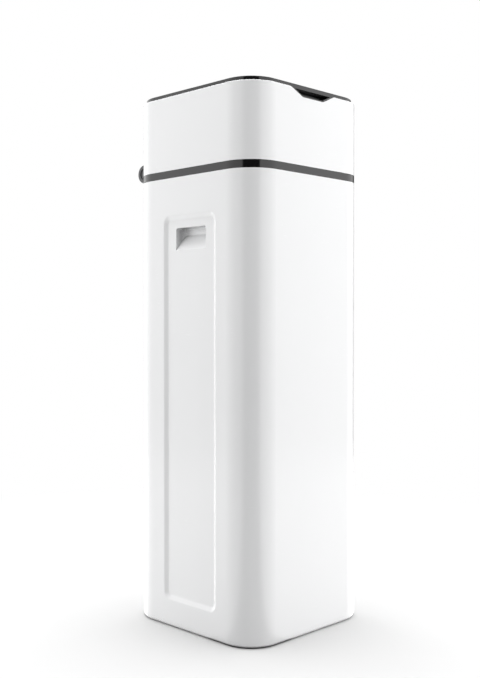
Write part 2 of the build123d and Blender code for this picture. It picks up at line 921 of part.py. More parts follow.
def lid_liner():
    """The ribbed plate that closes the lid from below."""
    inset = lid_inset + lid_skin + liner_gap
    top_z = lid_bottom_z + liner_rib_height
    shape = slab(inset, lid_bottom_z, lid_bottom_z + liner_plate)
    shape += band(inset, inset + liner_rib, lid_bottom_z, top_z)
    half = side_x - inset - liner_rib / 2
    for x in (-liner_rib_spacing, 0, liner_rib_spacing):
        reach = back_y - inset - liner_rib / 2
        low = (x - liner_rib / 2, -reach, lid_bottom_z)
        shape += block(low, (x + liner_rib / 2, reach, top_z))
    for y in (-liner_rib_spacing, 0, liner_rib_spacing):
        low = (-half, y - liner_rib / 2, lid_bottom_z)
        shape += block(low, (half, y + liner_rib / 2, top_z))
    for x, y in bumper_places():
        shape -= rod(
            bumper_radius + fit_gap,
            (x, y, lid_bottom_z - overrun),
            (x, y, lid_bottom_z + bumper_sink),
        )
    return shape


def lid_bumpers():
    """Four rubber bumpers that the closed lid rests on."""
    return group(
        rod(bumper_radius, (x, y, cover_top_z + bumper_lift), (x, y, lid_bottom_z + bumper_sink))
        for x, y in bumper_places()
    )


def hinge_pins():
    """The two steel pins of the lid hinge."""
    half = lid_knuckle_length / 2 + knuckle_side_gap + cover_knuckle_length + hinge_pin_overhang
    return group(
        rod(
            hinge_pin_radius,
            (sign * hinge_x - half, hinge_y, hinge_z),
            (sign * hinge_x + half, hinge_y, hinge_z),
        )
        for sign in (-1, 1)
    )


def button_places():
    """The x of each control button, all in one row beside the display."""
    return [button_first_x + i * button_spacing for i in range(button_count)]


def standoff_places():
    """Where the circuit board is screwed to the pod."""
    return [
        (sx * standoff_x, pod_centre_y + sy * standoff_y) for sx in (-1, 1) for sy in (-1, 1)
    ]


def control_pod():
    """The raised fascia on the deck, open below, with the display window and button holes."""
    shape = rounded_block(
        pod_width, pod_length, pod_corner_radius, deck_top_z, pod_top_z, 0, pod_centre_y
    )
    shape = fillet(shape.edges().group_by(Axis.Z)[-1], pod_edge_radius)
    shape -= rounded_block(
        pod_width - 2 * pod_wall, pod_length - 2 * pod_wall, pod_corner_radius - pod_wall,
        deck_top_z - overrun, pod_top_z - pod_wall, 0, pod_centre_y,
    )
    shape -= rounded_block(
        display_width, display_length, lens_corner_radius,
        deck_top_z, pod_top_z + overrun, display_x, pod_centre_y,
    )
    shape -= rounded_block(
        display_width + 2 * lens_ledge, display_length + 2 * lens_ledge,
        lens_corner_radius + lens_ledge, pod_top_z - lens_thickness, pod_top_z + overrun,
        display_x, pod_centre_y,
    )
    for x in button_places():
        shape -= rod(
            button_radius + button_clearance,
            (x, pod_centre_y, deck_top_z),
            (x, pod_centre_y, pod_top_z + overrun),
        )
    for x, y in standoff_places():
        shape += rod(standoff_radius, (x, y, board_top_z), (x, y, pod_top_z - pod_wall / 2))
        pilot = small_screw_radius + fit_gap
        tip_z = deck_top_z + board_lift + small_screw_length + rest_gap
        shape -= rod(pilot, (x, y, deck_top_z), (x, y, tip_z))
    return shape


def display_lens():
    """The clear window over the display."""
    return rounded_block(
        display_width + 2 * (lens_ledge - rest_gap), display_length + 2 * (lens_ledge - rest_gap),
        lens_corner_radius + lens_ledge - rest_gap, pod_top_z - lens_thickness, pod_top_z,
        display_x, pod_centre_y,
    )


def display_module():
    """The display itself, on its pillar block on the board."""
    top_z = pod_top_z - lens_thickness - rest_gap
    inner = rounded_block(
        display_width - 2 * rest_gap, display_length - 2 * rest_gap,
        lens_corner_radius - rest_gap, top_z - lcd_thickness, top_z, display_x, pod_centre_y,
    )
    stem = rounded_block(
        display_width - 2 * lcd_frame - 2 * rest_gap,
        display_length - 2 * lcd_frame - 2 * rest_gap,
        lens_corner_radius - rest_gap, board_top_z, top_z - lcd_thickness,
        display_x, pod_centre_y,
    )
    return inner + stem


def circuit_board():
    """The control board under the pod."""
    inset = pod_wall + board_margin
    shape = rounded_block(
        pod_width - 2 * inset, pod_length - 2 * inset, pod_corner_radius - inset,
        deck_top_z + board_lift, board_top_z, 0, pod_centre_y,
    )
    for x, y in standoff_places():
        shape -= rod(
            small_screw_radius + rest_gap, (x, y, deck_top_z), (x, y, board_top_z + overrun)
        )
    return shape


def tact_switches():
    """The four small switches under the buttons."""
    half = switch_size / 2
    top_z = board_top_z + switch_height
    return group(
        block(
            (x - half, pod_centre_y - half, board_top_z), (x + half, pod_centre_y + half, top_z)
        )
        for x in button_places()
    )


def control_button(x):
    """One button: a cap in the pod's hole and a flange that keeps it in."""
    flange_top_z = pod_top_z - pod_wall - rest_gap
    flange_bottom_z = flange_top_z - button_flange_height
    stem_bottom_z = board_top_z + switch_height + button_travel + rest_gap
    here = (x, pod_centre_y)
    shape = rod(button_radius, (*here, flange_bottom_z), (*here, pod_top_z + button_proud))
    shape = fillet(shape.edges().group_by(Axis.Z)[-1], button_proud / 2)
    shape += rod(button_radius + button_flange, (*here, flange_bottom_z), (*here, flange_top_z))
    if stem_bottom_z < flange_bottom_z:
        shape += rod(switch_size / 2, (*here, stem_bottom_z), (*here, flange_bottom_z))
    return shape


def dome_profile(radius, low_z, high_z, rise, neck, neck_z):
    """Half of a domed vessel's section, from the axis out."""
    bottom = EllipticalCenterArc((0, low_z + rise), radius, rise, -quarter_turn, arc_size=quarter_turn)
    top = EllipticalCenterArc((0, high_z - rise), radius, rise, 0, arc_size=quarter_turn)
    side = Line(bottom @ 1, top @ 0)
    axis = Line(top @ 1, bottom @ 0)
    shape = make_face([*bottom.edges(), side.edge(), *top.edges(), axis.edge()])
    shape += Pos(neck / 2, (high_z - rise + neck_z) / 2) * Rectangle(neck, neck_z - high_z + rise)
    return shape


def turned(section):
    """A section turned round the tank's axis."""
    return Pos(0, tank_centre_y, 0) * revolve(Plane.XZ * section, Axis.Z)


def tank_outer(grow):
    """The outside of the tank, grown by a clearance."""
    return turned(
        dome_profile(
            tank_radius + grow, tank_bottom_z - grow, tank_dome_top_z + grow,
            tank_dome_height + grow, tank_neck_radius + grow, tank_top_z,
        )
    )


def tank_inner(gap):
    """The hollow of the tank, less a gap."""
    less = tank_wall + gap
    return turned(
        dome_profile(
            tank_radius - less, tank_bottom_z + less, tank_dome_top_z - less,
            tank_dome_height - less, tank_neck_bore - gap, tank_top_z + overrun,
        )
    )


def on_axis(radius, bottom, top):
    """A round bar on the tank's axis."""
    return rod(radius, (0, tank_centre_y, bottom), (0, tank_centre_y, top))


def resin_tank():
    """The wound pressure vessel that holds the resin."""
    return tank_outer(0) - tank_inner(0)


def tank_foot():
    """The cup that the round-bottomed tank stands in."""
    cup = on_axis(tank_radius + foot_wall, body_floor_top_z, body_floor_top_z + foot_height)
    return cup - tank_outer(rest_gap)


def resin_bed():
    """The bed of resin beads that fills the lower part of the tank."""
    shape = tank_inner(rest_gap) & on_axis(tank_radius, tank_bottom_z, resin_top_z)
    strainer_top_z = lower_strainer_bottom() + lower_strainer_height
    shape -= on_axis(
        lower_strainer_radius + rest_gap,
        lower_strainer_bottom() - 2 * tank_wall,
        strainer_top_z + rest_gap,
    )
    return shape - on_axis(riser_radius + rest_gap, strainer_top_z, resin_top_z + overrun)


def lower_strainer_bottom():
    """The height of the lower strainer's underside."""
    sag = 1 - math.sqrt(1 - (lower_strainer_radius / (tank_radius - tank_wall)) ** 2)
    return tank_bottom_z + tank_wall + rest_gap + sag * (tank_dome_height - tank_wall)


def slotted_basket(radius, bottom, top):
    """A strainer basket: a closed can with upright slots all round."""
    shape = on_axis(radius, bottom, top)
    shape -= on_axis(radius - strainer_wall, bottom + strainer_wall, top - strainer_wall)
    for i in range(strainer_slots):
        low = (0, -strainer_slot / 2, bottom + strainer_end)
        slot = block(low, (radius + overrun, strainer_slot / 2, top - strainer_end))
        shape -= Pos(0, tank_centre_y, 0) * Rot(0, 0, i * 360 / strainer_slots) * slot
    return shape


def lower_strainer():
    """The basket at the foot of the riser tube."""
    bottom = lower_strainer_bottom()
    top = bottom + lower_strainer_height
    shape = slotted_basket(lower_strainer_radius, bottom, top)
    return shape - on_axis(riser_radius + fit_gap, top - strainer_wall - overrun, top + overrun)


def riser_tube():
    """The tube that carries softened water from the bottom of the tank to the valve."""
    bottom = lower_strainer_bottom() + lower_strainer_height - strainer_end
    top = tank_top_z + riser_into_valve
    start, end = (0, tank_centre_y, bottom), (0, tank_centre_y, top)
    return pipe(riser_radius, riser_radius - riser_wall, start, end)


def upper_strainer():
    """The basket under the valve that keeps the resin in the tank."""
    top = tank_top_z - valve_spigot_length - rest_gap
    bottom = top - upper_strainer_height
    shape = slotted_basket(upper_strainer_radius, bottom, top)
    return shape - on_axis(riser_radius + rest_gap, bottom - overrun, top + overrun)


def port_places():
    """The outlet and inlet tubes' x, left then right."""
    return (-port_spacing / 2, port_spacing / 2)


def valve_body():
    """The valve's moulded block, screwed into the tank's neck, with its tubes to the bypass."""
    shape = block(
        (-valve_width / 2, valve_front_y, valve_block_z), (valve_width / 2, valve_back_y, valve_top_z)
    )
    shape = fillet(shape.edges().filter_by(Axis.Z), valve_edge_radius)
    shape += on_axis(valve_collar_radius, tank_top_z, valve_block_z)
    shape += on_axis(
        tank_neck_bore - rest_gap, tank_top_z - valve_spigot_length, tank_top_z
    )
    inner_y = tank_centre_y + rotor_chamber_radius / 2
    for x in port_places():
        shape += rod(port_tube_radius, (x, valve_back_y - overrun, port_z), (x, tube_end_y, port_z))
    side = valve_width / 2
    shape += rod(
        side_port_radius, (side - overrun, tank_centre_y, brine_port_z),
        (side + side_port_length, tank_centre_y, brine_port_z),
    )
    shape += rod(
        side_port_radius, (overrun - side, tank_centre_y, drain_port_z),
        (-side - side_port_length, tank_centre_y, drain_port_z),
    )
    for x in port_places():
        shape -= rod(port_bore, (x, inner_y, port_z), (x, tube_end_y + overrun, port_z))
    shape -= rod(
        side_port_bore, (side - side_port_length, tank_centre_y, brine_port_z),
        (side + side_port_length + overrun, tank_centre_y, brine_port_z),
    )
    shape -= rod(
        side_port_bore, (side_port_length - side, tank_centre_y, drain_port_z),
        (-side - side_port_length - overrun, tank_centre_y, drain_port_z),
    )
    shape -= on_axis(riser_radius + fit_gap, tank_top_z - valve_spigot_length - overrun,
                     tank_top_z + riser_into_valve + rest_gap)
    chamber_bottom_z = valve_top_z - rotor_chamber_depth
    shape -= on_axis(port_bore, tank_top_z + riser_into_valve, chamber_bottom_z + overrun)
    shape -= on_axis(rotor_chamber_radius, chamber_bottom_z, valve_top_z + overrun)
    for x, y in valve_screw_places():
        shape -= rod(
            valve_screw_radius + fit_gap,
            (x, y, valve_cover_top_z - valve_screw_length - rest_gap),
            (x, y, valve_top_z + overrun),
        )
    return shape


def valve_screw_places():
    """Where the valve's cover plate is screwed down."""
    reach = valve_cover_side / 2 - valve_screw_radius * screw_head_share
    short = valve_length / 2 - valve_screw_radius * screw_head_share
    return [(x, tank_centre_y + y) for x in (-reach, reach) for y in (-short, short)]


def disc_ports():
    """The angles of the ports in the stator and the rotor."""
    return [i * 360 / disc_port_count for i in range(disc_port_count)]


def ported_disc(radius, bottom, top, angles):
    """A flat round plate with a ring of ports."""
    shape = on_axis(radius, bottom, top)
    for angle in angles:
        port = rod(
            disc_port_radius, (disc_port_circle, 0, bottom - overrun), (disc_port_circle, 0, top + overrun)
        )
        shape -= Pos(0, tank_centre_y, 0) * Rot(0, 0, angle) * port
    return shape


def valve_stator():
    """The fixed sealing disc at the bottom of the rotor chamber."""
    bottom = valve_top_z - rotor_chamber_depth
    return ported_disc(rotor_chamber_radius - rest_gap, bottom, bottom + stator_thickness, disc_ports())


def valve_rotor():
    """The turning disc that opens and closes the valve's ports."""
    bottom = valve_top_z - rotor_chamber_depth + stator_thickness + rest_gap
    top = bottom + rotor_thickness
    shape = ported_disc(rotor_radius, bottom, top, disc_ports()[:2])
    spindle_top = gear_top_z + bracket_thickness / 2
    return shape + on_axis(spindle_radius, bottom, spindle_top)


def valve_cover():
    """The plate that closes the rotor chamber."""
    half = valve_cover_side / 2
    shape = block(
        (-half - valve_screw_radius, valve_front_y, valve_top_z),
        (half + valve_screw_radius, valve_back_y, valve_cover_top_z),
    )
    shape = fillet(shape.edges().filter_by(Axis.Z), valve_edge_radius)
    shape -= on_axis(spindle_radius + fit_gap, valve_top_z - overrun, valve_cover_top_z + overrun)
    for x, y in valve_screw_places():
        shape -= rod(
            valve_screw_radius + rest_gap, (x, y, valve_top_z - overrun), (x, y, valve_cover_top_z + overrun)
        )
    return shape


def valve_screws():
    """The screws of the valve's cover plate."""
    return group(
        screw(valve_screw_radius, valve_screw_length, (x, y, valve_cover_top_z), (x, y, 0))
        for x, y in valve_screw_places()
    )


def gear_plan(teeth):
    """A spur gear's outline: involute flanks by formula, thinned by half the backlash."""
    pitch = gear_module * teeth / 2
    angle = math.radians(pressure_angle)
    base = pitch * math.cos(angle)
    tip = pitch + gear_module
    root = pitch - gear_root_share * gear_module
    half_tooth = math.pi / (2 * teeth) - gear_backlash / (4 * pitch)

    def involute(radius):
        roll = math.sqrt(max((radius / base) ** 2 - 1, 0))
        return roll - math.atan(roll)

    start = max(base, root)
    radii = [start + (tip - start) * i / gear_flank_steps for i in range(gear_flank_steps + 1)]
    pitch_involute = math.tan(angle) - angle
    flank = [(radius, half_tooth + pitch_involute - involute(radius)) for radius in radii]
    if root < base:
        flank.insert(0, (root, flank[0][1]))
    points = []
    for tooth in range(teeth):
        middle = 2 * math.pi * tooth / teeth
        for radius, spread in flank:
            points.append((radius * math.cos(middle - spread), radius * math.sin(middle - spread)))
        for radius, spread in reversed(flank):
            points.append((radius * math.cos(middle + spread), radius * math.sin(middle + spread)))
    return make_face(Polyline(*points, close=True))


def drive_gear():
    """The large gear on the rotor's spindle, with the cam that works the position switch."""
    shape = Pos(0, tank_centre_y, gear_bottom_z) * extrude(gear_plan(gear_teeth), amount=gear_thickness)
    cam_bottom_z = gear_bottom_z - cam_thickness
    shape += on_axis(cam_radius, cam_bottom_z, gear_bottom_z)
    notch = (cam_radius, tank_centre_y)
    shape -= rod(cam_notch_radius, (*notch, cam_bottom_z - overrun), (*notch, gear_bottom_z))
    return shape - on_axis(spindle_radius + fit_gap, cam_bottom_z - overrun, gear_top_z + overrun)


def motor_pinion():
    """The small gear with its shaft, which reaches up into the motor."""
    plan = Rot(0, 0, 180 / pinion_teeth) * gear_plan(pinion_teeth)
    bottom = gear_bottom_z - pinion_extra / 2
    here = (pinion_x, tank_centre_y)
    shape = Pos(*here, bottom) * extrude(plan, amount=gear_thickness + pinion_extra)
    return shape + rod(motor_shaft_radius, (*here, bottom), (*here, motor_shaft_top_z))


def post_places():
    """Where the motor bracket stands on the valve's cover plate."""
    return [(sx * post_x, tank_centre_y + sy * post_y) for sx in (-1, 1) for sy in (-1, 1)]


def motor_bracket():
    """The plate above the gears that carries the motor, on four posts."""
    left = pinion_x - motor_radius - bracket_margin
    right = post_x + post_radius + bracket_margin
    half = post_y + post_radius + bracket_margin
    shape = block(
        (left, tank_centre_y - half, bracket_bottom_z), (right, tank_centre_y + half, bracket_top_z)
    )
    shape = fillet(shape.edges().filter_by(Axis.Z), valve_edge_radius)
    for x, y in post_places():
        shape += rod(post_radius, (x, y, valve_cover_top_z), (x, y, bracket_bottom_z))
    return shape - rod(
        motor_boss_radius + rest_gap,
        (pinion_x, tank_centre_y, bracket_bottom_z - overrun),
        (pinion_x, tank_centre_y, bracket_top_z + overrun),
    )


def drive_motor():
    """The small geared motor on the bracket, with the bearing bore for the pinion's shaft."""
    here = (pinion_x, tank_centre_y)
    shape = rod(motor_radius, (*here, bracket_top_z), (*here, bracket_top_z + motor_length))
    boss_bottom_z = bracket_top_z - motor_boss_height
    shape += rod(motor_boss_radius, (*here, boss_bottom_z), (*here, bracket_top_z))
    start, end = (*here, boss_bottom_z - overrun), (*here, motor_shaft_top_z + rest_gap)
    return shape - rod(motor_shaft_radius + fit_gap, start, end)


def position_switch():
    """The switch that the gear's cam works."""
    near_x = cam_radius + position_switch_gap
    half = position_switch_depth / 2
    return block(
        (near_x, tank_centre_y - half, valve_cover_top_z),
        (near_x + position_switch_width, tank_centre_y + half, valve_cover_top_z + position_switch_height),
    )


def injector_cap():
    """The cap over the brine injector, on the front of the valve."""
    shape = rod(
        injector_radius,
        (injector_x, valve_front_y - injector_length, port_z),
        (injector_x, valve_front_y, port_z),
    )
    return fillet(shape.edges().group_by(Axis.Y)[0], valve_edge_radius)


def flow_turbine():
    """The flow meter's turbine wheel in the outlet tube."""
    x = port_places()[0]
    start, end = turbine_y - turbine_length / 2, turbine_y + turbine_length / 2
    shape = rod(turbine_hub_radius, (x, start, port_z), (x, end, port_z))
    for i in range(turbine_blades):
        low = (-turbine_blade / 2, start, 0)
        blade = block(low, (turbine_blade / 2, end, turbine_radius))
        shape += Pos(x, 0, port_z) * Rot(0, i * 360 / turbine_blades, 0) * blade
    return shape - rod(
        turbine_axle_radius + fit_gap, (x, start - overrun, port_z), (x, end + overrun, port_z)
    )


def turbine_support():
    """The spoked holder and axle of the flow meter's turbine."""
    x = port_places()[0]
    start = turbine_y + turbine_length / 2 + turbine_end_gap
    end = start + turbine_support_length
    outer = port_bore - fit_gap
    shape = rod(outer, (x, start, port_z), (x, end, port_z))
    shape -= rod(
        outer - turbine_support_wall, (x, start - overrun, port_z), (x, end + overrun, port_z)
    )
    for i in range(turbine_spokes):
        low = (-turbine_blade / 2, start, 0)
        spoke = block(low, (turbine_blade / 2, end, outer - turbine_support_wall / 2))
        shape += Pos(x, 0, port_z) * Rot(0, i * 360 / turbine_spokes, 0) * spoke
    shape += rod(turbine_hub_radius, (x, start, port_z), (x, end, port_z))
    axle_start = turbine_y - turbine_length / 2 - turbine_end_gap
    return shape + rod(turbine_axle_radius, (x, axle_start, port_z), (x, start, port_z))


def bypass_body():
    """The bypass valve behind the cabinet: a cross tube, two sockets and two threaded stubs."""
    half = bypass_half_length
    shape = rod(bypass_radius, (-half, bypass_y, port_z), (half, bypass_y, port_z))
    for x in port_places():
        shape += rod(socket_radius, (x, socket_mouth_y, port_z), (x, bypass_y, port_z))
        shape += rod(stub_collar_radius, (x, bypass_y, port_z), (x, stub_start_y, port_z))
        shape += rod(stub_radius, (x, stub_start_y, port_z), (x, stub_end_y, port_z))
    for x in port_places():
        shape -= rod(
            port_tube_radius + socket_gap,
            (x, socket_mouth_y - overrun, port_z),
            (x, tube_end_y + tube_end_gap / 2, port_z),
        )
        shape -= rod(port_bore, (x, tube_end_y, port_z), (x, stub_end_y + overrun, port_z))
    return shape - rod(
        plunger_radius + fit_gap, (-half - overrun, bypass_y, port_z), (half + overrun, bypass_y, port_z)
    )


def bypass_plunger():
    """The sliding plunger of the bypass valve, with a waist at each port."""
    near_end = plunger_end_x + knob_thickness
    far_end = bypass_half_length + far_knob_gap
    shape = rod(plunger_radius, (near_end, bypass_y, port_z), (far_end, bypass_y, port_z))
    for x in port_places():
        start, end = x - plunger_waist_length / 2, x + plunger_waist_length / 2
        shape -= pipe(
            plunger_radius + overrun, plunger_waist_radius,
            (start, bypass_y, port_z), (end, bypass_y, port_z),
        )
    return shape


def bypass_knob(start, end):
    """A round knob on an end of the plunger, from its inner face to its dished outer face."""
    outwards = 1 if end > start else -1
    shape = rod(knob_radius, (start, bypass_y, port_z), (end, bypass_y, port_z))
    shape = fillet(shape.edges().filter_by(GeomType.CIRCLE), knob_edge_radius)
    return shape - rod(
        knob_dish_radius,
        (end - outwards * knob_dish_depth, bypass_y, port_z),
        (end + outwards * overrun, bypass_y, port_z),
    )


def bypass_knobs():
    """The pull knob on the left and the push knob on the right."""
    far_start = bypass_half_length + far_knob_gap
    return group(
        [
            bypass_knob(plunger_end_x + knob_thickness, plunger_end_x),
            bypass_knob(far_start, far_start + knob_thickness),
        ]
    )


def port_clips():
    """The spring clips that lock the bypass's sockets on the valve's tubes."""
    clips = []
    start = socket_mouth_y - clip_width - rest_gap
    for x in port_places():
        here, there = (x, start, port_z), (x, start + clip_width, port_z)
        clip = pipe(port_tube_radius + clip_thickness, port_tube_radius + fit_gap, here, there)
        half = clip_opening / 2
        low = (x - half, start - overrun, port_z - 2 * port_tube_radius)
        clips.append(clip - block(low, (x + half, start + clip_width + overrun, port_z)))
    return group(clips)


def plate_screw_places():
    """Where the port plate is screwed to the back of the cover."""
    high = port_plate_bottom_z + port_plate_height - plate_screw_top_drop
    low = port_plate_bottom_z + plate_screw_bottom_rise
    return [(sx * plate_screw_x, z) for sx in (-1, 1) for z in (low, high)]


def plate_screw_hole(place):
    """A pilot hole in the back of the cover for a port plate screw."""
    x, z = place
    return rod(
        case_screw_radius + fit_gap,
        (x, port_plate_back_y - case_screw_length - rest_gap, z),
        (x, back_y + overrun, z),
    )


def port_plate():
    """The dark plate that closes the back of the cover round the bypass's sockets."""
    middle_z = port_plate_bottom_z + port_plate_height / 2
    frame = Plane(origin=(0, back_y, middle_z), x_dir=(1, 0, 0), z_dir=(0, 1, 0))
    face = RectangleRounded(port_plate_width, port_plate_height, port_plate_corner)
    shape = extrude(frame * face, amount=port_plate_thickness)
    for x in port_places():
        shape -= rod(
            socket_radius + rest_gap,
            (x, back_y - overrun, port_z),
            (x, port_plate_back_y + overrun, port_z),
        )
    for x, z in plate_screw_places():
        shape -= rod(
            case_screw_radius + rest_gap,
            (x, back_y - overrun, z),
            (x, port_plate_back_y + overrun, z),
        )
    return shape


def drain_outlet():
    """The drain spigot in the back of the cover, with a flange outside."""
    inner_y = back_y - shell_wall - drain_inside
    flange_y = back_y + drain_flange
    end_y = flange_y + drain_spigot_length

    def along(radius, start, end):
        return rod(radius, (drain_x, start, drain_z), (drain_x, end, drain_z))

    shape = along(drain_neck_radius, inner_y, flange_y)
    shape += along(drain_flange_radius, back_y, flange_y)
    shape += along(drain_spigot_radius, flange_y, end_y)
    return shape - along(drain_bore, inner_y - overrun, end_y + overrun)


def cable_grommet():
    """The rubber grommet for the power lead in the back of the cover."""
    inner_y = back_y - shell_wall
    shape = rod(
        grommet_neck_radius, (grommet_x, inner_y, grommet_z), (grommet_x, back_y, grommet_z)
    )
    for start, end in ((inner_y - grommet_flange, inner_y), (back_y, back_y + grommet_flange)):
        shape += rod(grommet_radius, (grommet_x, start, grommet_z), (grommet_x, end, grommet_z))
    return shape - rod(
        grommet_bore,
        (grommet_x, inner_y - grommet_flange - overrun, grommet_z),
        (grommet_x, back_y + grommet_flange + overrun, grommet_z),
    )


def overflow_fitting():
    """The overflow spigot through the back of the cabinet body."""
    flange_y = back_y + overflow_gasket
    end_y = flange_y + overflow_flange + overflow_length
    inner_y = back_y - shell_wall - overflow_nut - rest_gap

    def along(radius, start, end):
        return rod(radius, (overflow_x, start, overflow_z), (overflow_x, end, overflow_z))

    shape = along(overflow_thread_radius, inner_y, flange_y)
    shape += along(overflow_flange_radius, flange_y, flange_y + overflow_flange)
    shape += along(overflow_radius, flange_y, end_y)
    return shape - along(overflow_bore, inner_y - overrun, end_y + overrun)


def overflow_seal():
    """The rubber gasket between the overflow fitting's flange and the cabinet."""
    return pipe(
        overflow_flange_radius, overflow_thread_radius + rest_gap,
        (overflow_x, back_y, overflow_z), (overflow_x, back_y + overflow_gasket, overflow_z),
    )


def overflow_hex_nut():
    """The hexagonal nut that holds the overflow fitting from inside."""
    start = back_y - shell_wall - overflow_nut
    frame = Plane(origin=(overflow_x, start, overflow_z), x_dir=(1, 0, 0), z_dir=(0, 1, 0))
    shape = extrude(frame * RegularPolygon(overflow_nut_radius, 6), amount=overflow_nut)
    return shape - rod(
        overflow_thread_radius + fit_gap,
        (overflow_x, start - overrun, overflow_z),
        (overflow_x, back_y, overflow_z),
    )


def brine_well():
    """The slotted tube in the rear corner that keeps salt off the float valve."""
    here, there = (well_x, well_y, body_floor_top_z), (well_x, well_y, well_top_z)
    shape = pipe(well_radius, well_radius - well_wall, here, there)
    bottom = body_floor_top_z + well_slot_rise
    for i in range(well_slots):
        low = (0, -well_slot_width / 2, bottom)
        slot = block(low, (well_radius + overrun, well_slot_width / 2, bottom + well_slot_height))
        shape -= Pos(well_x, well_y, 0) * Rot(0, 0, i * 360 / well_slots) * slot
    return shape


def well_cap():
    """The cap on the brine well, with the hole for the brine pipe."""
    top = well_top_z + well_cap_plate
    bottom = well_top_z - well_cap_skirt
    inner = well_radius - well_wall - rest_gap
    shape = rod(well_radius, (well_x, well_y, well_top_z), (well_x, well_y, top))
    shape += pipe(inner, inner - well_wall, (well_x, well_y, bottom), (well_x, well_y, well_top_z))
    return shape - rod(
        brine_pipe_radius + rest_gap, (brine_pipe_x, well_y, bottom), (brine_pipe_x, well_y, top + overrun)
    )


def float_valve():
    """The brine float valve under the cap, with its pipe up through the cap and rod guide."""
    top = well_top_z - float_valve_drop
    bottom = top - float_valve_height
    here = (brine_pipe_x, well_y)
    shape = rod(float_valve_radius, (*here, bottom), (*here, top))
    shape += rod(brine_pipe_radius, (*here, top), (*here, brine_line_start_z))
    low = (brine_pipe_x, well_y - float_arm / 2, bottom)
    shape += block(low, (float_x, well_y + float_arm / 2, bottom + float_arm))
    guide = (float_x, well_y)
    shape += rod(float_guide_radius, (*guide, bottom), (*guide, bottom + float_arm))
    shape -= rod(
        float_rod_radius + fit_gap, (*guide, bottom - overrun), (*guide, bottom + float_arm + overrun)
    )
    return shape - rod(brine_line_bore, (*here, bottom - overrun), (*here, brine_line_start_z + overrun))


def brine_pickup():
    """The pipe from the float valve down to its slotted foot, with the lower rod guide."""
    chamber_z = body_floor_top_z + air_check_rise
    foot_top_z = chamber_z + air_check_height
    top = well_top_z - float_valve_drop - float_valve_height
    here = (brine_pipe_x, well_y)
    shape = rod(air_check_radius, (*here, body_floor_top_z), (*here, foot_top_z))
    inner = air_check_radius - strainer_wall
    shape -= rod(inner, (*here, chamber_z), (*here, foot_top_z - strainer_wall))
    for i in range(air_check_slots):
        low = (0, -strainer_slot / 2, chamber_z)
        slot = block(low, (air_check_radius + overrun, strainer_slot / 2, foot_top_z - strainer_end))
        shape -= Pos(*here, 0) * Rot(0, 0, i * 360 / air_check_slots) * slot
    shape += rod(brine_pipe_radius, (*here, foot_top_z - strainer_wall), (*here, top))
    low = (brine_pipe_x, well_y - float_arm / 2, float_guide_z)
    shape += block(low, (float_x, well_y + float_arm / 2, float_guide_z + float_arm))
    guide = (float_x, well_y)
    shape += rod(float_guide_radius, (*guide, float_guide_z), (*guide, float_guide_z + float_arm))
    shape -= rod(
        float_rod_radius + fit_gap,
        (*guide, float_guide_z - overrun),
        (*guide, float_guide_z + float_arm + overrun),
    )
    return shape - rod(brine_line_bore, (*here, chamber_z + strainer_wall), (*here, top + overrun))


def float_rod():
    """The rod that lifts the float valve."""
    top = well_top_z - float_valve_drop
    here = (float_x, well_y)
    return rod(float_rod_radius, (*here, float_rod_bottom_z), (*here, top))


def brine_float():
    """The float on its rod."""
    here = (float_x, well_y)
    shape = rod(float_radius, (*here, float_bottom_z), (*here, float_bottom_z + float_height))
    shape = fillet(shape.edges().filter_by(GeomType.CIRCLE), float_edge_radius)
    return shape - rod(
        float_rod_radius + fit_gap,
        (*here, float_bottom_z - overrun),
        (*here, float_bottom_z + float_height + overrun),
    )


def hollow_line(points, bend, radius, bore):
    """A bent pipe along a route of straight runs joined by arcs."""
    path = FilletPolyline(*points, radius=bend)
    start = Plane(origin=path @ 0, z_dir=path % 0)
    return sweep(start * (Circle(radius) - Circle(bore)), path=path)


def brine_line():
    """The pipe from the float valve to the valve's brine port."""
    end_x = valve_width / 2 + side_port_length
    points = [
        (brine_pipe_x, well_y, brine_line_start_z),
        (brine_pipe_x, well_y, brine_port_z),
        (brine_pipe_x, tank_centre_y, brine_port_z),
        (end_x, tank_centre_y, brine_port_z),
    ]
    bend = brine_line_bend_share * (well_y - tank_centre_y)
    return hollow_line(points, bend, brine_line_radius, brine_line_bore)


def drain_line():
    """The pipe from the valve's drain port to the drain outlet."""
    start_x = -valve_width / 2 - side_port_length
    points = [
        (start_x, tank_centre_y, drain_port_z),
        (drain_x, tank_centre_y, drain_port_z),
        (drain_x, drain_line_turn_y, drain_z),
        (drain_x, back_y - shell_wall - drain_inside, drain_z),
    ]
    return hollow_line(points, drain_line_bend, drain_line_radius, drain_line_bore)


def salt_grid():
    """The perforated shelf that holds the salt above the brine, on four legs."""
    top = grid_z + grid_thickness
    shape = slab(grid_inset, grid_z, top)
    shape -= block((-side_x, grid_rear_y, grid_z - overrun), (side_x, back_y, top + overrun))
    shape -= on_axis(tank_radius + grid_clearance, grid_z - overrun, top + overrun)
    columns = 2 * int((side_x - grid_hole_side_gap) // grid_hole_spacing) + 1
    first_y = front_y + grid_hole_front_gap
    rows = int((tank_front_y - grid_hole_tank_gap - first_y) // grid_hole_spacing) + 1
    middle_y = first_y + (rows - 1) * grid_hole_spacing / 2
    holes = GridLocations(grid_hole_spacing, grid_hole_spacing, columns, rows)
    plan = Sketch() + [place * Circle(grid_hole_radius) for place in holes]
    shape -= Pos(0, middle_y, grid_z - overrun) * extrude(
        plan, amount=grid_thickness + 2 * overrun
    )
    leg_x = side_x - grid_leg_side_inset
    for x in (-leg_x, leg_x):
        for y in (front_y + grid_leg_front_inset, grid_rear_y - grid_leg_rear_inset):
            shape += rod(grid_leg_radius, (x, y, body_floor_top_z), (x, y, grid_z))
    return shape


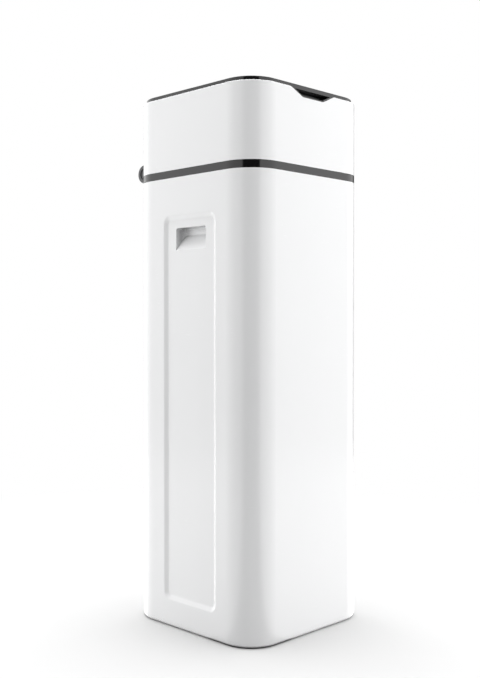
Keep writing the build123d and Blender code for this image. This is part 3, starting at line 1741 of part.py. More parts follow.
PIECES = {
    "base_ring": base_ring,
    "cabinet_body": cabinet_body,
    "belt_ring": belt_ring,
    "top_cover": top_cover,
    "case_screws": case_screws,
    "inner_deck": inner_deck,
    "small_screws": small_screws,
    "salt_chute": salt_chute,
    "lid_panel": lid_panel,
    "lid_liner": lid_liner,
    "lid_bumpers": lid_bumpers,
    "hinge_pins": hinge_pins,
    "control_pod": control_pod,
    "display_lens": display_lens,
    "display_module": display_module,
    "circuit_board": circuit_board,
    "tact_switches": tact_switches,
    "resin_tank": resin_tank,
    "tank_foot": tank_foot,
    "resin_bed": resin_bed,
    "riser_tube": riser_tube,
    "lower_strainer": lower_strainer,
    "upper_strainer": upper_strainer,
    "valve_body": valve_body,
    "valve_stator": valve_stator,
    "valve_rotor": valve_rotor,
    "valve_cover": valve_cover,
    "valve_screws": valve_screws,
    "drive_gear": drive_gear,
    "motor_pinion": motor_pinion,
    "motor_bracket": motor_bracket,
    "drive_motor": drive_motor,
    "position_switch": position_switch,
    "injector_cap": injector_cap,
    "flow_turbine": flow_turbine,
    "turbine_support": turbine_support,
    "bypass_body": bypass_body,
    "bypass_plunger": bypass_plunger,
    "bypass_knobs": bypass_knobs,
    "port_clips": port_clips,
    "port_plate": port_plate,
    "drain_outlet": drain_outlet,
    "cable_grommet": cable_grommet,
    "overflow_fitting": overflow_fitting,
    "overflow_seal": overflow_seal,
    "overflow_nut": overflow_hex_nut,
    "brine_well": brine_well,
    "well_cap": well_cap,
    "float_valve": float_valve,
    "brine_pickup": brine_pickup,
    "float_rod": float_rod,
    "brine_float": brine_float,
    "brine_line": brine_line,
    "drain_line": drain_line,
    "salt_grid": salt_grid,
}


def main():
    """Builds every piece and writes one STEP file for each."""
    os.makedirs("parts", exist_ok=True)
    for name, make in PIECES.items():
        export_step(make(), f"parts/{name}.step")
    for number, x in enumerate(button_places(), 1):
        export_step(control_button(x), f"parts/button_{number}.step")


main()
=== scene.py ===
"""A slim cabinet water softener, dressed: every finish, the screw threads, the display and the small printed marks."""
from __future__ import annotations

import json
import logging
import math
from dataclasses import dataclass
from enum import Enum
from typing import Callable, Iterable

import bmesh
import bpy
from mathutils import Matrix, Vector


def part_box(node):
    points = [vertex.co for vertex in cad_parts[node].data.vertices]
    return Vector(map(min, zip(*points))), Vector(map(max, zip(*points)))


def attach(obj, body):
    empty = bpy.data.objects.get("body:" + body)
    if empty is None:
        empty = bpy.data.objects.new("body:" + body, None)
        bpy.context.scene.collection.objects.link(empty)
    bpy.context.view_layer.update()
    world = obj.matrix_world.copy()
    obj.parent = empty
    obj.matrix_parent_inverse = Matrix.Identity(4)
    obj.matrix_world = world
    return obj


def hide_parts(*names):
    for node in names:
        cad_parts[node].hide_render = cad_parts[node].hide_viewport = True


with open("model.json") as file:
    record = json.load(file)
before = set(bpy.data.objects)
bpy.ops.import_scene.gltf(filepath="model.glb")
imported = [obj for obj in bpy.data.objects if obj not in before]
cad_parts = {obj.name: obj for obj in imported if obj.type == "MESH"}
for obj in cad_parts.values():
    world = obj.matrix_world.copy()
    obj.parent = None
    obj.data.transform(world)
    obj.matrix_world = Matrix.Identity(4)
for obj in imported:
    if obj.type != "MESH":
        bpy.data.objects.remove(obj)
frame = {"nodes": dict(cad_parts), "record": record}

log = logging.getLogger("softener")
MM = 0.001
FULL_TURN = 2 * math.pi
# The Mix node's sockets, which share their names between its kinds.
MIX_FACTOR, MIX_FIRST_NUMBER, MIX_SECOND_NUMBER, MIX_FIRST_COLOUR, MIX_SECOND_COLOUR = 0, 2, 3, 6, 7
MIXED_NUMBER, MIXED_COLOUR = 0, 2


Socket = bpy.types.NodeSocket
Pair = tuple[float, float]
Corner = Pair
Place = tuple[float, float, float]
Colour = tuple[float, float, float, float]


def grey(level: float) -> Colour:
    """Gives an even grey."""
    return level, level, level, 1.0


@dataclass
class Sheet:
    """A node tree, with short ways to add nodes and join them."""

    tree: bpy.types.NodeTree

    def add(self, kind: str, inputs: dict[str | int, object] | None = None, **settings: object) -> bpy.types.Node:
        """Adds one node.

        Args:
            kind: the node's type name.
            inputs: values or sockets for its inputs, by name or number.
            settings: the node's own settings.

        Returns:
            The new node.
        """
        node = self.tree.nodes.new(kind)
        for name, value in settings.items():
            setattr(node, name, value)
        for key, value in (inputs or {}).items():
            self.feed(node, key, value)
        return node

    def feed(self, node: bpy.types.Node, key: str | int, value: object) -> None:
        """Sets an input to a value, or joins a socket to it.

        Args:
            node: the node that has the input.
            key: the input's name or number.
            value: a plain value, or an output socket.
        """
        if isinstance(value, Socket):
            self.tree.links.new(value, node.inputs[key])
        else:
            node.inputs[key].default_value = value

    def math(self, operation: str, *values: object, clamp: bool = False) -> Socket:
        """Adds a Math node.

        Args:
            operation: the node's operation.
            values: its inputs in order.
            clamp: whether the result stays between 0 and 1.

        Returns:
            The node's output.
        """
        inputs = {number: value for number, value in enumerate(values)}
        return self.add("ShaderNodeMath", inputs, operation=operation, use_clamp=clamp).outputs[0]

    def times(self, first: object, second: object, clamp: bool = False) -> Socket:
        """Multiplies two numbers."""
        return self.math("MULTIPLY", first, second, clamp=clamp)

    def plus(self, first: object, second: object) -> Socket:
        """Adds two numbers."""
        return self.math("ADD", first, second)

    def spread(self, value: Socket, low: float, high: float,
               new_low: float = 0.0, new_high: float = 1.0) -> Socket:
        """Maps a range smoothly onto another one.

        Args:
            value: the number to map.
            low: where the range starts.
            high: where it ends.
            new_low: what the start becomes.
            new_high: what the end becomes.

        Returns:
            The mapped number.
        """
        inputs = {"Value": value, "From Min": low, "From Max": high, "To Min": new_low, "To Max": new_high}
        return self.add("ShaderNodeMapRange", inputs, interpolation_type="SMOOTHSTEP").outputs["Result"]

    def tint(self, mask: object, first: object, second: object) -> Socket:
        """Mixes two colours.

        Args:
            mask: 0 gives the first colour and 1 the second.
            first: a colour or a socket.
            second: a colour or a socket.

        Returns:
            The mixed colour.
        """
        inputs = {MIX_FACTOR: mask, MIX_FIRST_COLOUR: first, MIX_SECOND_COLOUR: second}
        return self.add("ShaderNodeMix", inputs, data_type="RGBA").outputs[MIXED_COLOUR]

    def here(self) -> Socket:
        """Gives the shaded point, in the object's own frame."""
        return self.add("ShaderNodeTexCoord").outputs["Object"]

    def parts(self, vector: Socket) -> bpy.types.bpy_prop_collection:
        """Splits a vector into X, Y and Z."""
        return self.add("ShaderNodeSeparateXYZ", {0: vector}).outputs

    def noise(self, place: Socket, scale: object, detail: float, distortion: float = 0.0) -> Socket:
        """Adds a noise.

        Args:
            place: the point that it is read at.
            scale: how many clouds go into a metre.
            detail: how many finer noises lie over it.
            distortion: how much it swirls.

        Returns:
            The noise, from 0 to 1.
        """
        inputs = {"Vector": place, "Scale": scale, "Detail": detail, "Distortion": distortion}
        return self.add("ShaderNodeTexNoise", inputs).outputs["Fac"]


def open_material(name: str) -> tuple[bpy.types.Material, Sheet]:
    """Starts a material.

    Args:
        name: the material's name.

    Returns:
        The material and its sheet, which holds a Principled shader.
    """
    material = bpy.data.materials.new(name)
    material.use_nodes = True
    return material, Sheet(material.node_tree)


def open_group(name: str, inputs: dict[str, float], *outputs: str) -> tuple[
        Sheet, bpy.types.bpy_prop_collection, bpy.types.Node]:
    """Starts a shared effect, whose inputs and outputs are numbers.

    Args:
        name: the effect's name.
        inputs: its inputs with their usual values.
        outputs: its outputs.

    Returns:
        The sheet, the inputs by name, and the node that takes the outputs.
    """
    tree = bpy.data.node_groups.new(name, "ShaderNodeTree")
    for label, value in inputs.items():
        tree.interface.new_socket(name=label, in_out="INPUT", socket_type="NodeSocketFloat").default_value = value
    for label in outputs:
        tree.interface.new_socket(name=label, in_out="OUTPUT", socket_type="NodeSocketFloat")
    sheet = Sheet(tree)
    return sheet, sheet.add("NodeGroupInput").outputs, sheet.add("NodeGroupOutput")


# What the shared effects map smoothly: from and to, and what these become where it isn't 0 and 1.
DUST_FACING_UP = (0.25, 0.95)
DUST_PATCHES = (0.35, 0.7, 0.25, 0.8)
DUST_SPECKS = (0.62, 0.7, 0.0, 0.6)
EDGE_BEND = (0.995, 0.9)
EDGE_BREAKS = (0.35, 0.65, 0.15, 1.0)
SMUDGE_CLOUDS = (0.3, 0.7, -1.0, 1.0)
SCRATCH_HAIRS = (0.66, 0.72)
# Painted shade: how closed in a point must be, by ambient occlusion, before shade is painted into its colour.
PAINTED_SHADE_OPENNESS = (0.6, 0.2)
FIBRE_GROOVE = (0.0, 0.12)
GRAIN_DOME = (0.75, 0.0)
METAL_SPOTS = (0.48, 0.68)
# How many clouds of each noise go into a metre.
PATCH_SCALE, SPECK_SCALE, BREAK_SCALE, FIBRE_CLOUD_SCALE, SPOT_SCALE = 26.0, 1400.0, 180.0, 12.0, 70.0
# How scratches are stretched and turned, and how smudges swirl.
HAIR_STRETCH, HAIR_TURN, SMUDGE_SWIRL = (1.0, 1.0, 14.0), (0.5, 0.35, 0.2), 0.6
# How much of a wound tank's height and shade each thing gives.
STRAND_SHARE, CROSSING_SHARE, FIBRE_CLOUD_SHARE, GROOVE_SHADE = 0.35, 0.25, 0.6, 0.55


def moulded_skin() -> bpy.types.NodeTree:
    """Builds the fine unevenness of a moulded face.

    Returns:
        The group: Height from the tool's texture and the long waves of shrinkage.
    """
    sheet, given, out = open_group("moulded skin", {"Grain": 900.0, "Wave": 14.0, "Wave Share": 0.5}, "Height")
    place, share = sheet.here(), given["Wave Share"]
    fine = sheet.times(sheet.noise(place, given["Grain"], 3.0), sheet.math("SUBTRACT", 1.0, share))
    sheet.feed(out, "Height", sheet.plus(fine, sheet.times(sheet.noise(place, given["Wave"], 1.0), share)))
    return sheet.tree


def settled_dust() -> bpy.types.NodeTree:
    """Builds the dust that lies on faces that look up.

    Returns:
        The group: Mask, thicker in patches.
    """
    sheet, given, out = open_group("settled dust", {"Amount": 0.3}, "Mask")
    place = sheet.here()
    normal = sheet.add("ShaderNodeNewGeometry").outputs["Normal"]
    flat = sheet.spread(sheet.parts(normal)["Z"], *DUST_FACING_UP)
    patch = sheet.spread(sheet.noise(place, PATCH_SCALE, 4.0), *DUST_PATCHES)
    speck = sheet.spread(sheet.noise(place, SPECK_SCALE, 1.0), *DUST_SPECKS)
    lying = sheet.times(flat, sheet.plus(patch, speck))
    sheet.feed(out, "Mask", sheet.times(lying, given["Amount"], clamp=True))
    return sheet.tree


def rubbed_edges() -> bpy.types.NodeTree:
    """Builds the wear along edges.

    Returns:
        The group: Mask, strongest on sharp edges and broken up along them.
    """
    sheet, given, out = open_group("rubbed edges", {"Reach": 0.0015, "Amount": 0.5}, "Mask")
    true_normal = sheet.add("ShaderNodeNewGeometry").outputs["Normal"]
    rounded = sheet.add("ShaderNodeBevel", {"Radius": given["Reach"]}, samples=4).outputs["Normal"]
    apart = sheet.add("ShaderNodeVectorMath", {0: rounded, 1: true_normal}, operation="DOT_PRODUCT")
    edge = sheet.spread(apart.outputs["Value"], *EDGE_BEND)
    broken = sheet.spread(sheet.noise(sheet.here(), BREAK_SCALE, 4.0), *EDGE_BREAKS)
    sheet.feed(out, "Mask", sheet.times(sheet.times(edge, broken), given["Amount"], clamp=True))
    return sheet.tree


def handling() -> bpy.types.NodeTree:
    """Builds smudges and hair scratches, which change how sharply a face reflects.

    Returns:
        The group: Smudge from -1 to 1, and Scratch from 0 to 1.
    """
    sheet, given, out = open_group("handling", {"Smudge Scale": 18.0, "Scratch Scale": 60.0}, "Smudge", "Scratch")
    place = sheet.here()
    cloud = sheet.noise(place, given["Smudge Scale"], 5.0, SMUDGE_SWIRL)
    sheet.feed(out, "Smudge", sheet.spread(cloud, *SMUDGE_CLOUDS))
    inputs = {"Vector": place, "Scale": HAIR_STRETCH, "Rotation": HAIR_TURN}
    stretched = sheet.add("ShaderNodeMapping", inputs, vector_type="POINT").outputs[0]
    hair = sheet.noise(stretched, given["Scratch Scale"], 2.0)
    sheet.feed(out, "Scratch", sheet.spread(hair, *SCRATCH_HAIRS))
    return sheet.tree


def painted_hollow_shade() -> bpy.types.NodeTree:
    """Builds painted shade: the colour darkened in deep corners and hollows, where shadow falls.

    Returns:
        The group: Mask of the painted shade, strongest where the surface is closed in.
    """
    sheet, given, out = open_group("hollow shade", {"Reach": 0.03, "Amount": 0.5}, "Mask")
    closed = sheet.add("ShaderNodeAmbientOcclusion", {"Distance": given["Reach"]}, samples=6).outputs["AO"]
    sheet.feed(out, "Mask", sheet.times(sheet.spread(closed, *PAINTED_SHADE_OPENNESS), given["Amount"], clamp=True))
    return sheet.tree


def wound_fibre() -> bpy.types.NodeTree:
    """Builds the crossing bands of glass fibre on a wound tank.

    Returns:
        The group: Height and Shade of the two sets of helical bands.
    """
    sheet, given, out = open_group(
        "wound fibre", {"Axis X": 0.0, "Axis Y": 0.0, "Bands": 26.0, "Lead": 34.0, "Strands": 900.0}, "Height", "Shade")
    place = sheet.here()
    parts = sheet.parts(place)
    across = sheet.math("SUBTRACT", parts["X"], given["Axis X"])
    along = sheet.math("SUBTRACT", parts["Y"], given["Axis Y"])
    angle = sheet.math("ARCTAN2", along, across)
    turns = sheet.times(sheet.math("DIVIDE", angle, FULL_TURN), given["Bands"])
    rise = sheet.times(parts["Z"], given["Lead"])
    right, left = (sheet.spread(sheet.math("PINGPONG", sheet.math(lean, turns, rise), 0.5), *FIBRE_GROOVE)
                   for lean in ("ADD", "SUBTRACT"))
    weave = sheet.math("MINIMUM", right, left)
    strand = sheet.noise(place, given["Strands"], 2.0)
    sheet.feed(out, "Height", sheet.plus(weave, sheet.times(strand, STRAND_SHARE)))
    order = sheet.math("GREATER_THAN", sheet.math("FRACT", sheet.times(turns, 0.5)), 0.5)
    cloud = sheet.times(sheet.noise(place, FIBRE_CLOUD_SCALE, 3.0), FIBRE_CLOUD_SHARE)
    shade = sheet.plus(sheet.times(order, CROSSING_SHARE), cloud)
    gaps = sheet.plus(GROOVE_SHADE, sheet.times(weave, 1.0 - GROOVE_SHADE))
    sheet.feed(out, "Shade", sheet.times(shade, gaps, clamp=True))
    return sheet.tree


def small_grains() -> bpy.types.NodeTree:
    """Builds packed beads or cells.

    Returns:
        The group: Height of each rounded grain, and its own Shade.
    """
    sheet, given, out = open_group("small grains", {"Scale": 900.0}, "Height", "Shade")
    cell = sheet.add("ShaderNodeTexVoronoi", {"Vector": sheet.here(), "Scale": given["Scale"]})
    sheet.feed(out, "Height", sheet.spread(cell.outputs["Distance"], *GRAIN_DOME))
    sheet.feed(out, "Shade", sheet.parts(cell.outputs["Color"])["X"])
    return sheet.tree


def drawn_metal() -> bpy.types.NodeTree:
    """Builds the fine lines of drawn or turned metal.

    Returns:
        The group: Height, and a Stain from 0 to 1 for dull spots.
    """
    sheet, given, out = open_group("drawn metal", {"Scale": 120.0, "Stretch": 18.0}, "Height", "Stain")
    place = sheet.here()
    flat = sheet.add("ShaderNodeCombineXYZ", {"X": 1.0, "Y": 1.0, "Z": given["Stretch"]}).outputs[0]
    squeezed = sheet.add("ShaderNodeVectorMath", {0: place, 1: flat}, operation="MULTIPLY").outputs[0]
    sheet.feed(out, "Height", sheet.noise(squeezed, given["Scale"], 3.0))
    sheet.feed(out, "Stain", sheet.spread(sheet.noise(place, SPOT_SCALE, 5.0), *METAL_SPOTS))
    return sheet.tree


class Effects:
    """The shared effects, each built once."""

    makers: dict[str, Callable[[], bpy.types.NodeTree]] = {
        "skin": moulded_skin, "dust": settled_dust, "edges": rubbed_edges, "handling": handling, "painted_shade": painted_hollow_shade,
        "fibre": wound_fibre, "grains": small_grains, "metal": drawn_metal,
    }

    def __init__(self) -> None:
        """Starts with none built."""
        self.built: dict[str, bpy.types.NodeTree] = {}

    def place(self, sheet: Sheet, name: str, **values: float) -> dict[str, Socket]:
        """Puts an effect into a material.

        Args:
            sheet: the material's sheet.
            name: the effect's short name.
            values: its own values, with underscores for the spaces in the input's names.

        Returns:
            The effect's outputs by name.
        """
        if name not in self.built:
            self.built[name] = self.makers[name]()
        node = sheet.add("ShaderNodeGroup", node_tree=self.built[name])
        for key, value in values.items():
            sheet.feed(node, key.replace("_", " "), value)
        return {socket.name: socket for socket in node.outputs}


EFFECTS = Effects()
DUST_COLOUR = (0.46, 0.45, 0.43, 1.0)
DUST_ROUGHENS = 0.5
WEAR_ROUGHENS = 0.25
# The dark grey that the painted shade in hollows and deep corners darkens the colour towards.
PAINTED_SHADE_COLOUR = grey(0.1)
LEAST_ROUGHNESS = 0.02
CLOUD_SCALE = 9.0
SCATTER_LENGTH = 0.003


@dataclass(frozen=True)
class Finish:
    """A finish of one material slot.

    Colours are linear, the grain is a count in a metre and its height is in metres. The rest are shares.
    """

    slot: str
    colour: tuple[float, float, float]
    roughness: float
    grain: float = 900.0
    grain_height: float = 0.00002
    wave_share: float = 0.3
    dust: float = 0.1
    wear: float = 0.0
    wear_colour: tuple[float, float, float] = (0.5, 0.5, 0.5)
    smudge: float = 0.03
    scratch: float = 0.0
    variation: float = 0.04
    metallic: float = 0.0
    subsurface: float = 0.0
    coat: float = 0.0
    # The share of painted shade: colour darkened in hollows and deep corners, where shadow falls.
    painted_shade: float = 0.0

    def build(self) -> bpy.types.Material:
        """Builds the material.

        Returns:
            The material, named after its slot.
        """
        material, sheet = open_material(f"finish_{self.slot}")
        shader = sheet.tree.nodes["Principled BSDF"]
        shader.inputs["Metallic"].default_value = self.metallic
        shader.inputs["Coat Weight"].default_value = self.coat
        shader.inputs["Subsurface Weight"].default_value = self.subsurface
        shader.inputs["Subsurface Scale"].default_value = SCATTER_LENGTH
        colour = self.colour_socket(sheet)
        marks = EFFECTS.place(sheet, "handling")
        rough = sheet.plus(self.roughness, sheet.times(marks["Smudge"], self.smudge))
        rough = sheet.plus(rough, sheet.times(marks["Scratch"], self.scratch))
        if self.wear:
            worn = EFFECTS.place(sheet, "edges", Amount=self.wear)["Mask"]
            colour = sheet.tint(worn, colour, (*self.wear_colour, 1.0))
            rough = sheet.plus(rough, sheet.times(worn, WEAR_ROUGHENS))
        # Paints shade into the colour in hollows and deep corners, where shadow falls.
        if self.painted_shade:
            colour = sheet.tint(EFFECTS.place(sheet, "painted_shade", Amount=self.painted_shade)["Mask"], colour, PAINTED_SHADE_COLOUR)
        if self.dust:
            dust = EFFECTS.place(sheet, "dust", Amount=self.dust)["Mask"]
            colour = sheet.tint(dust, colour, DUST_COLOUR)
            rough = sheet.plus(rough, sheet.times(dust, DUST_ROUGHENS))
        sheet.feed(shader, "Base Color", colour)
        sheet.feed(shader, "Roughness", sheet.math("MAXIMUM", rough, LEAST_ROUGHNESS, clamp=True))
        bump = sheet.add("ShaderNodeBump", {"Height": self.height_socket(sheet), "Distance": self.grain_height,
                                            "Strength": 1.0})
        sheet.feed(shader, "Normal", bump.outputs["Normal"])
        return material

    def height_socket(self, sheet: Sheet) -> Socket:
        """Gives the height of the surface's grain."""
        return EFFECTS.place(sheet, "skin", Grain=self.grain, Wave_Share=self.wave_share)["Height"]

    def shade(self, share: float, lift: float = 0.0) -> Colour:
        """Gives the finish's colour times a share, plus a lift."""
        return (*(min(1.0, part * share + lift) for part in self.colour), 1.0)

    def colour_socket(self, sheet: Sheet) -> Socket:
        """Gives the clean colour with its slight clouds, before wear and dust."""
        cloud = sheet.noise(sheet.here(), CLOUD_SCALE, 3.0)
        return sheet.tint(cloud, self.shade(1.0 - self.variation), self.shade(1.0 + self.variation))


@dataclass(frozen=True)
class WoundFinish(Finish):
    """The tank's wrap of glass fibre in tinted resin."""

    axis: Pair = (0.0, 0.066)
    fibre_share: float = 2.4
    fibre_lift: float = 0.02

    def height_socket(self, sheet: Sheet) -> Socket:
        """Gives the height of the crossing bands."""
        return EFFECTS.place(sheet, "fibre", Axis_X=self.axis[0], Axis_Y=self.axis[1])["Height"]

    def colour_socket(self, sheet: Sheet) -> Socket:
        """Gives the colour with its lighter bands of fibre."""
        bands = EFFECTS.place(sheet, "fibre", Axis_X=self.axis[0], Axis_Y=self.axis[1])["Shade"]
        return sheet.tint(bands, self.shade(1.0), self.shade(self.fibre_share, self.fibre_lift))


@dataclass(frozen=True)
class GrainFinish(Finish):
    """Beads or cells packed side by side."""

    def height_socket(self, sheet: Sheet) -> Socket:
        """Gives the height of the grains."""
        return EFFECTS.place(sheet, "grains", Scale=self.grain)["Height"]

    def colour_socket(self, sheet: Sheet) -> Socket:
        """Gives each grain its own shade, down to four times the variation."""
        grains = EFFECTS.place(sheet, "grains", Scale=self.grain)["Shade"]
        return sheet.tint(grains, self.shade(1.0 - 4 * self.variation), self.shade(1.0))


@dataclass(frozen=True)
class MetalFinish(Finish):
    """Drawn, turned or plated metal."""

    stretch: float = 18.0
    stained_share: float = 0.72

    def height_socket(self, sheet: Sheet) -> Socket:
        """Gives the height of the metal's fine lines."""
        return EFFECTS.place(sheet, "metal", Scale=self.grain, Stretch=self.stretch)["Height"]

    def colour_socket(self, sheet: Sheet) -> Socket:
        """Gives the metal's colour with its dull spots."""
        stain = EFFECTS.place(sheet, "metal", Scale=self.grain, Stretch=self.stretch)["Stain"]
        return sheet.tint(stain, self.shade(1.0), self.shade(self.stained_share))


@dataclass(frozen=True)
class LensFinish:
    """The clear window over the display."""

    slot: str = "display_lens"

    def build(self) -> bpy.types.Material:
        """Builds the clear plastic.

        Returns:
            The material.
        """
        material, sheet = open_material(f"finish_{self.slot}")
        shader = sheet.tree.nodes["Principled BSDF"]
        shader.inputs["Transmission Weight"].default_value = 1.0
        shader.inputs["IOR"].default_value = 1.49
        shader.inputs["Base Color"].default_value = (0.9, 0.93, 0.94, 1.0)
        marks = EFFECTS.place(sheet, "handling", Smudge_Scale=60.0)
        sheet.feed(shader, "Roughness", sheet.spread(marks["Smudge"], -1.0, 1.0, 0.01, 0.07))
        return material


FINISHES: tuple[Finish | LensFinish, ...] = (
    # The white shell has painted shade in its hollows, such as the grip pockets.
    Finish("white_shell", (0.83, 0.833, 0.838), 0.22, grain=1100.0, grain_height=0.000012, wave_share=0.35,
           dust=0.05, wear=0.25, wear_colour=(0.72, 0.715, 0.7), scratch=0.04, variation=0.008, painted_shade=0.8),
    Finish("dark_gloss", (0.006, 0.006, 0.0065), 0.06, grain=500.0, grain_height=0.000004, wave_share=0.7,
           dust=0.06, wear=0.3, wear_colour=(0.03, 0.03, 0.032), scratch=0.08, variation=0.1),
    Finish("dark_matte", (0.035, 0.035, 0.037), 0.42, grain=1500.0, grain_height=0.00008, dust=0.14, wear=0.25,
           wear_colour=(0.1, 0.1, 0.1), smudge=0.05, scratch=0.06, variation=0.08),
    Finish("natural_plastic", (0.74, 0.75, 0.73), 0.38, grain=700.0, grain_height=0.00004, subsurface=0.12,
           smudge=0.05, variation=0.03),
    WoundFinish("tank_wrap", (0.03, 0.065, 0.14), 0.3, grain_height=0.0003, dust=0.12, coat=0.3, smudge=0.06),
    Finish("foot_black", (0.03, 0.03, 0.031), 0.45, grain_height=0.00006, dust=0.15, smudge=0.06),
    GrainFinish("resin_beads", (0.42, 0.23, 0.06), 0.25, grain=1100.0, grain_height=0.0006, dust=0.0,
                variation=0.14),
    Finish("valve_black", (0.04, 0.04, 0.042), 0.4, grain=1300.0, grain_height=0.00006, dust=0.12, wear=0.3,
           wear_colour=(0.11, 0.11, 0.11), smudge=0.06, scratch=0.06, variation=0.1),
    Finish("valve_disc", (0.72, 0.71, 0.66), 0.25, grain=1500.0, grain_height=0.00001, dust=0.0),
    Finish("gear_plastic", (0.78, 0.755, 0.66), 0.34, dust=0.04, subsurface=0.08, variation=0.03),
    MetalFinish("screw_steel", (0.6, 0.6, 0.61), 0.28, metallic=1.0, dust=0.03, smudge=0.06, stretch=1.0),
    MetalFinish("motor_steel", (0.52, 0.525, 0.53), 0.3, grain=160.0, grain_height=0.00003, metallic=1.0,
                dust=0.06, smudge=0.08),
    Finish("clip_plastic", (0.5, 0.06, 0.035), 0.35, grain=1000.0, grain_height=0.00003),
    Finish("rubber", (0.025, 0.025, 0.026), 0.7, grain=1200.0, grain_height=0.00008, dust=0.15),
    LensFinish(),
    Finish("display_panel", (0.02, 0.024, 0.026), 0.18, grain_height=0.000008, dust=0.0),
    Finish("board_green", (0.015, 0.11, 0.045), 0.3, grain=500.0, grain_height=0.00003, dust=0.05, variation=0.2),
    Finish("switch_grey", (0.2, 0.2, 0.21), 0.45, grain=1300.0, grain_height=0.00004, dust=0.05),
    Finish("button_grey", (0.36, 0.37, 0.38), 0.4, grain=1600.0, grain_height=0.00004, dust=0.06, wear=0.2,
           smudge=0.06),
    Finish("knob_dark", (0.045, 0.045, 0.048), 0.25, grain=1200.0, grain_height=0.00003, dust=0.12, wear=0.25,
           wear_colour=(0.12, 0.12, 0.12), scratch=0.06),
    Finish("line_tube", (0.66, 0.68, 0.69), 0.28, grain=400.0, dust=0.08, subsurface=0.25),
    GrainFinish("float_foam", (0.76, 0.76, 0.75), 0.6, grain=330.0, grain_height=0.0003, dust=0.0,
                variation=0.02),
    Finish("display_ink", (0.62, 0.76, 0.8), 0.35, grain=1500.0, grain_height=0.000004, dust=0.0, variation=0.02),
    Finish("pale_mark", (0.78, 0.79, 0.8), 0.5, grain=1500.0, grain_height=0.00001, dust=0.03, variation=0.02),
)


class Dresser:
    """Keeps the finishes and gives them to nodes and pieces."""

    def __init__(self, finishes: Iterable[Finish | LensFinish], slots: dict[str, str]) -> None:
        """Builds every finish.

        Args:
            finishes: the finishes, one for each slot and for each kind of printed mark.
            slots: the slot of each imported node.
        """
        self.materials = {finish.slot: finish.build() for finish in finishes}
        self.slots = slots

    def dress_node(self, name: str) -> None:
        """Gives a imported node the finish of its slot."""
        for place in frame["nodes"][name].material_slots:
            place.material = self.materials[self.slots[name]]

    def dress_piece(self, piece: bpy.types.Object, slot: str, body: str = "cabinet", *replaced: str,
                    finish: str = "") -> None:
        """Gives a piece its finish and its body.

        Args:
            piece: the new piece.
            slot: the slot that it takes its finish from.
            body: the body that it moves with.
            replaced: the nodes that it stands for.
            finish: the finish, where it isn't the slot's own.
        """
        piece.data.materials.clear()
        piece.data.materials.append(self.materials[finish or slot])
        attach(piece, body)
        if replaced:
            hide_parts(*replaced)
        log.info("piece %s rides on %s", piece.name, body)


def link_piece(name: str, mesh: bpy.types.Mesh) -> bpy.types.Object:
    """Puts a mesh into the scene.

    Args:
        name: the piece's name.
        mesh: its mesh.

    Returns:
        The new object.
    """
    piece = bpy.data.objects.new(name, mesh)
    bpy.context.scene.collection.objects.link(piece)
    return piece


